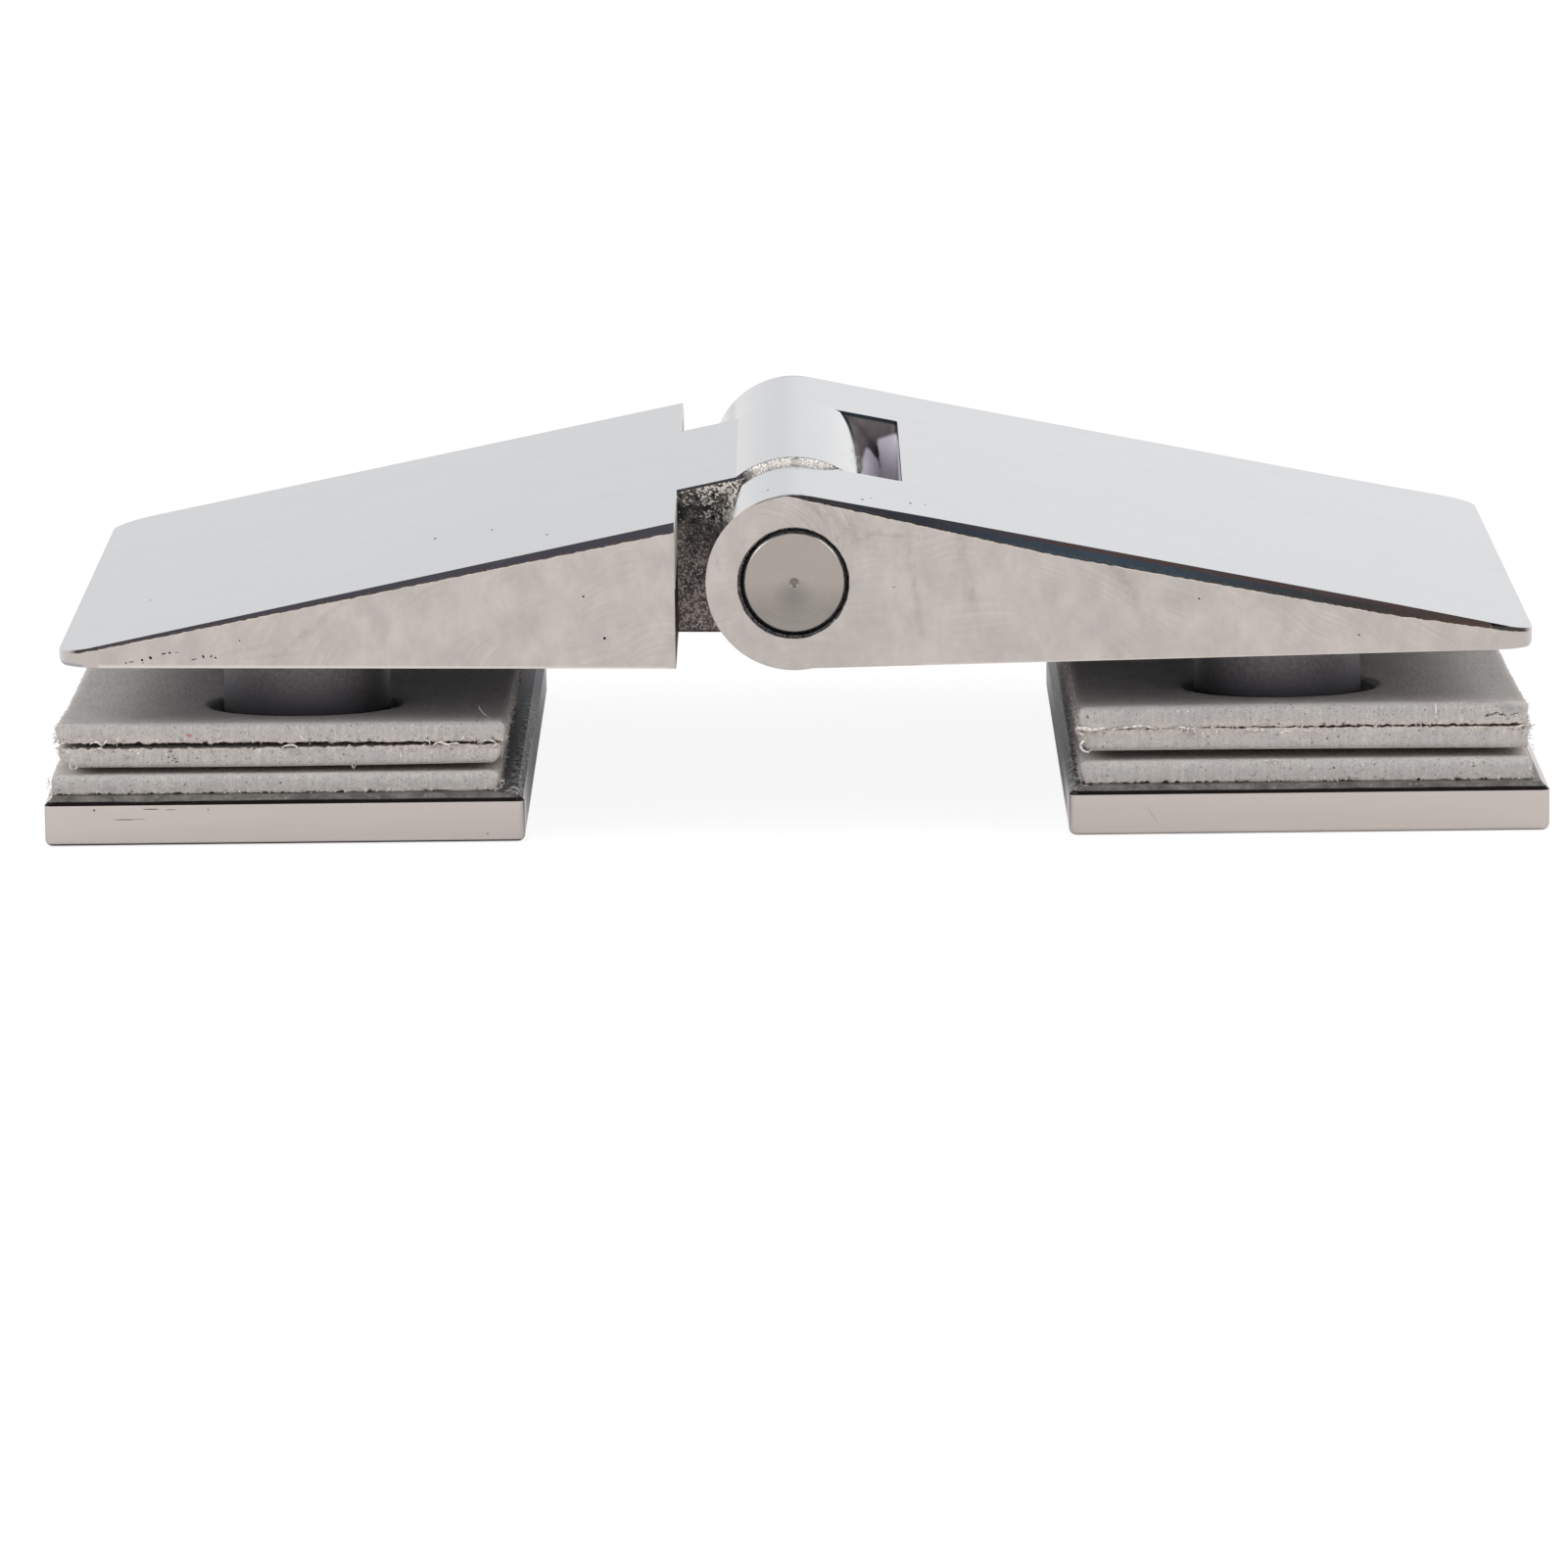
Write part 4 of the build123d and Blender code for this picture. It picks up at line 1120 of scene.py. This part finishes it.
# %% Strands, one by one
STRANDS = {
    "tongue_upper": (
        (0.06, (-32.4, 1.60, -4.8), (-32.35, 1.46, -4.2), (-31.9, 1.24, -3.2),
         (-31.2, 1.06, -2.2)),
        (0.09, (-71.9, -0.02, 0.0), (-71.3, 0.10, 0.25), (-70.7, -0.05, 0.3), (-70.2, 0.14, 0.2),
         (-69.8, 0.22, 0.02)),
        (0.07, (-70.9, -0.2, 0.1), (-70.4, 0.0, 0.3), (-70.1, 0.2, 0.3), (-69.5, 0.12, 0.05)),
        (0.05, (-50.6, 0.36, 0.02), (-50.3, 0.26, 0.15), (-50.1, 0.05, 0.1)),
        (0.05, (-49.8, 0.26, 0.02), (-50.0, 0.14, 0.15), (-50.1, 0.02, 0.1)),
        (0.09, (-34.2, 0.02, 0.05), (-33.9, 0.22, 0.25), (-33.4, 0.30, 0.3), (-32.9, 0.16, 0.2),
         (-32.7, 0.0, 0.05)),
        (0.05, (-35.2, 0.12, 0.02), (-34.9, 0.32, 0.12), (-34.5, 0.36, 0.02)),
        (0.07, (-75.4, 0.10, -0.2), (-75.0, 0.0, 0.15), (-74.5, 0.06, 0.1)),
        (0.05, (-75.2, 1.0, -0.3), (-75.5, 0.9, 0.0), (-75.3, 0.7, 0.1)),
    ),
    "tongue_middle": (
        (0.08, (-71.6, 0.9, 0.0), (-71.2, 1.04, 0.2), (-70.6, 1.0, 0.25), (-70.3, 0.85, 0.05)),
        (0.09, (-52.4, 0.98, 0.0), (-52.0, 1.12, 0.2), (-51.2, 1.14, 0.3), (-50.8, 1.0, 0.25),
         (-50.9, 0.72, 0.1), (-51.2, 0.55, 0.02)),
        (0.075, (-40.3, 0.95, 0.02), (-40.25, 0.6, 0.08), (-40.3, 0.3, 0.02)),
        (0.06, (-37.1, 0.8, 0.02), (-37.1, 0.4, 0.05), (-37.0, 0.2, 0.02)),
        (0.05, (-45.3, 0.1, 0.0), (-45.1, -0.10, 0.12), (-44.9, 0.04, 0.05)),
        (0.10, (-37.0, 1.0, 0.0), (-36.3, 1.16, 0.2), (-35.5, 1.04, 0.2), (-34.9, 1.12, 0.1)),
        (0.07, (-35.2, 1.0, 0.0), (-34.6, 1.10, 0.15), (-34.2, 1.0, 0.0)),
        (0.09, (-32.2, 1.02, 0.05), (-31.6, 1.22, 0.2), (-30.8, 1.16, 0.2), (-30.5, 0.98, 0.1),
         (-31.0, 0.86, 0.05)),
        (0.04, (-31.9, 0.9, 0.02), (-31.2, 0.98, 0.15), (-30.7, 0.86, 0.05)),
        (0.07, (-75.2, 0.95, -0.2), (-74.9, 0.85, 0.15), (-74.5, 0.92, 0.05)),
        (0.06, (-74.0, 0.2, 0.0), (-73.9, 0.02, 0.2), (-73.4, 0.0, 0.2), (-73.3, 0.14, 0.05)),
        (0.10, (-67.1, 0.80, 0.0), (-66.9, 0.76, 0.06), (-66.8, 0.72, 0.0)),
        (0.08, (-59.6, 0.85, 0.0), (-59.5, 0.72, 0.06), (-59.5, 0.62, 0.0)),
    ),
    "tongue_lower": (
        (0.06, (-75.9, 0.95, -0.3), (-76.3, 0.85, 0.0), (-76.1, 0.65, 0.1), (-76.5, 0.6, 0.0)),
        (0.05, (-76.0, 0.55, -0.2), (-76.4, 0.42, 0.1), (-76.1, 0.3, 0.1)),
        (0.06, (-76.0, 0.12, -0.2), (-76.2, 0.0, 0.1), (-75.8, 0.04, 0.2)),
        (0.05, (-30.3, 0.45, -0.3), (-29.9, 0.52, 0.1), (-29.8, 0.34, 0.2), (-30.2, 0.25, 0.2)),
    ),
    "fork_upper": (
        (0.085, (65.1, 0.93, 0.02), (65.15, 0.6, 0.1), (65.2, 0.15, 0.02)),
        (0.04, (39.8, 0.12, 0.02), (39.9, -0.04, 0.15), (39.8, -0.3, 0.12)),
        (0.05, (59.2, 0.05, 0.0), (59.0, -0.06, 0.15), (58.7, 0.02, 0.02)),
    ),
    "fork_middle": (
        (0.20, (28.7, 0.80, -0.3), (28.5, 1.02, 0.1), (29.2, 1.06, 0.2), (30.0, 1.0, 0.2),
         (31.0, 1.02, 0.1), (31.4, 1.1, 0.0)),
        (0.15, (28.5, 0.98, -0.1), (28.9, 0.84, 0.2), (29.4, 0.74, 0.25), (29.3, 0.52, 0.2),
         (28.95, 0.34, 0.2), (29.1, 0.12, 0.25), (29.6, 0.0, 0.25), (30.1, 0.1, 0.2)),
        (0.13, (32.2, 1.0, 0.0), (33.2, 1.06, 0.12), (34.3, 1.12, 0.15), (35.4, 1.14, 0.15),
         (36.2, 1.06, 0.1), (36.8, 0.98, 0.0)),
        (0.10, (38.6, 1.0, 0.02), (39.3, 1.05, 0.1), (40.1, 0.98, 0.1), (40.7, 1.04, 0.0)),
        (0.05, (40.2, 0.8, 0.02), (40.0, 0.62, 0.08), (40.1, 0.5, 0.02)),
        (0.09, (46.0, 0.95, 0.02), (46.7, 0.86, 0.1), (47.3, 0.94, 0.1), (47.9, 0.82, 0.02)),
        (0.09, (48.6, 0.88, 0.02), (49.2, 0.72, 0.1), (49.8, 0.86, 0.1), (50.5, 0.74, 0.02)),
        (0.06, (51.2, 0.94, 0.02), (51.8, 0.84, 0.1), (52.6, 0.9, 0.02)),
        (0.09, (56.6, 0.62, 0.0), (56.8, 0.58, 0.05), (56.9, 0.56, 0.0)),
        (0.07, (73.2, 0.95, 0.0), (74.0, 1.06, 0.1), (74.8, 1.02, 0.0)),
        (0.05, (74.4, 0.3, -0.2), (75.0, 0.15, 0.1), (75.1, -0.1, 0.1)),
    ),
    "fork_lower": (
        (0.06, (47.4, 0.96, 0.02), (48.2, 0.98, 0.15), (48.9, 1.0, 0.15), (49.3, 0.86, 0.05)),
        (0.05, (48.2, 0.9, 0.02), (48.8, 0.86, 0.1), (49.2, 0.9, 0.02)),
        (0.05, (74.6, 0.85, 0.02), (74.7, 0.5, 0.08), (74.6, 0.2, 0.02)),
    ),
}


def add_strand(bm, points, radius):
    """A tapered tube through the points, in millimetres."""
    path = []
    ends = [points[0]] + list(points) + [points[-1]]
    for a, b, c, d in zip(ends, ends[1:], ends[2:], ends[3:]):
        for k in range(4):
            t = k / 4
            path.append(0.5 * (2 * b + (c - a) * t + (2 * a - 5 * b + 4 * c - d) * t * t
                               + (3 * b - a - 3 * c + d) * t ** 3))
    path.append(points[-1])
    rings = []
    for i, spot in enumerate(path):
        ahead_of = path[min(i + 1, len(path) - 1)] - path[max(i - 1, 0)]
        side = ahead_of.cross(Vector((0.1, 1, 0.2))).normalized()
        other = ahead_of.cross(side).normalized()
        r = radius * (0.35 + 0.65 * math.sin(math.pi * min(0.93, max(0.07, i / (len(path) - 1)))))
        r *= 1 + 0.35 * ripple(spot.x, spot.y, spot.z, 2.5, 60)
        turns = [k * math.pi / 3 for k in range(6)]
        rings.append([bm.verts.new((spot + r * (math.cos(a) * side + math.sin(a) * other)) / 1000)
                      for a in turns])
    for low_ring, high_ring in zip(rings, rings[1:]):
        for k in range(6):
            m = (k + 1) % 6
            bm.faces.new((low_ring[k], low_ring[m], high_ring[m], high_ring[k]))
    bm.faces.new(rings[0][::-1])
    bm.faces.new(rings[-1])


def make_strands(name, spec, strands):
    """One mesh with all the listed strands of a pad."""
    bm = bmesh.new()
    for radius, *marks in strands:
        points = []
        for px, share, out in marks:
            py = spec["y0"] + 0.04 - out
            pz = spec["z0"] + share * spec["thick"] + pad_rise(spec, px, py)
            points.append(Vector((px, py, pz)))
        add_strand(bm, points, radius)
        # a thick strand has four thinner ones beside it
        for extra in range(4 if radius > 0.085 else 0):
            beside = [p + Vector([0.16 * ripple(*p, 1.7, 70 + 3 * extra + axis)
                                  for axis in range(3)]) for p in points]
            add_strand(bm, beside, 0.45 * radius)
    bmesh.ops.recalc_face_normals(bm, faces=bm.faces)
    mesh = bpy.data.meshes.new(name)
    bm.to_mesh(mesh)
    bm.free()
    mesh.shade_smooth()
    mesh.materials.append(fibre_finish)
    return mesh


# %% Read the six pads from the frame
def box_mm(node):
    """A node's box in millimetres."""
    return [[1000 * v for v in corner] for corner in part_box(node)]


def middle_of(node):
    """Where a node's middle is, seen from above, in millimetres."""
    lo, hi = box_mm(node)
    return (lo[0] + hi[0]) / 2, (lo[1] + hi[1]) / 2


# how much the front edge lifts at its first end, at its other end and between them, and the worn
# corners: which end, how far it is pulled in, over what reach, and at which share of the height
PAD_HABITS = {
    "tongue_lower": ((0.0, 0.0, 0.0), ((1, -0.3, 1.0, 0.0),)),
    "tongue_middle": ((0.10, 0.16, -0.14), ((0, 1.5, 1.6, 1.0), (1, -0.8, 1.4, 1.0))),
    "tongue_upper": ((0.12, -0.12, 0.0), ((0, 0.3, 1.2, 0.0),)),
    "fork_lower": ((0.0, 0.0, 0.0), ((0, 0.4, 1.0, 0.0),)),
    "fork_middle": ((0.22, 0.05, 0.06), ((0, 0.9, 1.4, 1.0), (1, -0.5, 1.2, 0.6))),
    "fork_upper": ((-0.04, 0.14, 0.09), ((0, 0.2, 1.0, 0.0), (1, -0.4, 1.2, 0.0))),
}
pad_specs = {}
for number, (name, (lift, worn)) in enumerate(PAD_HABITS.items()):
    leaf, height_name = name.split("_")
    lo, hi = box_mm(name + "_fibre_pad")
    flat_lo, flat_hi = box_mm(leaf + "_lower_fibre_pad")
    thick = flat_hi[2] - flat_lo[2]     # the lowest pads are flat, the others curl
    pad_specs[name] = {
        "x0": lo[0], "x1": hi[0], "y0": lo[1], "y1": hi[1], "z0": lo[2], "thick": thick,
        "level": number % 3, "flipped": height_name == "middle", "cup": hi[2] - lo[2] - thick,
        "holes": [middle_of(f"{leaf}_{end}_clamp_screw") for end in ("front", "rear")],
        "seed": 1 + number, "lift": lift,
        "worn": [(hi[0] if far else lo[0], *habit) for far, *habit in worn]}
    cup = round(pad_specs[name]["cup"], 2)
    print(name, "pad is", round(thick, 2), "mm thick and curls", cup, "mm")

# %% Make the pads and their fibres
def dress(piece, leaf):
    """Lets a new piece ride with its leaf."""
    if piece.name not in bpy.context.scene.objects:
        bpy.context.scene.collection.objects.link(piece)
    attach(piece, leaf + "_side")


def guide_lines(spec, share, ends_only=False):
    """Points in metres round a pad, or along its two short ends, at a share of the height."""
    outline = outline_points(spec, 1.0)
    lines = [[(x, y) for x, y, _, _ in outline]]
    if ends_only:
        ends = [(x, y) for x, y, out_x, _ in outline if abs(out_x) > 0.99]
        lines = [[(x, y) for x, y in ends if (x - spec["x0"] > 5) == far] for far in (False, True)]
    return [[(x / 1000, y / 1000, pad_height(spec, share, x, y) / 1000) for x, y in line]
            for line in lines]


# spacing, thickness and length in metres, and the share of points that grow a fibre
FUZZ = (0.00030, 0.000028, 0.00042, 0.55)
CURLS = (0.0011, 0.000055, 0.00055, 0.35)
END_FUZZ = (0.00045, 0.000030, 0.00045, 0.45)
for name, spec in pad_specs.items():
    leaf, short, seed = name.split("_")[0], name + "_board", 10 * spec["seed"]
    pad = bpy.data.objects.new(short, make_pad(short, spec))
    pad.data.materials.append(board_finish)
    dress(pad, leaf)
    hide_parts(name + "_fibre_pad")
    torn_lines = guide_lines(spec, 0.05) + guide_lines(spec, 0.14)
    end_lines = [line for share in (0.25, 0.45, 0.65) for line in guide_lines(spec, share, True)]
    strands = make_strands(short + "_strands", spec, STRANDS[name])
    groups = (grow_fibres(short + "_fuzz", torn_lines, *FUZZ, seed),
              grow_fibres(short + "_curls", torn_lines, *CURLS, seed + 1),
              grow_fibres(short + "_end_fuzz", end_lines, *END_FUZZ, seed + 2),
              bpy.data.objects.new(short + "_strands", strands))
    for group in groups:
        dress(group, leaf)
    print(short, "has", [len(group.data.polygons) for group in groups], "faces of fibre")
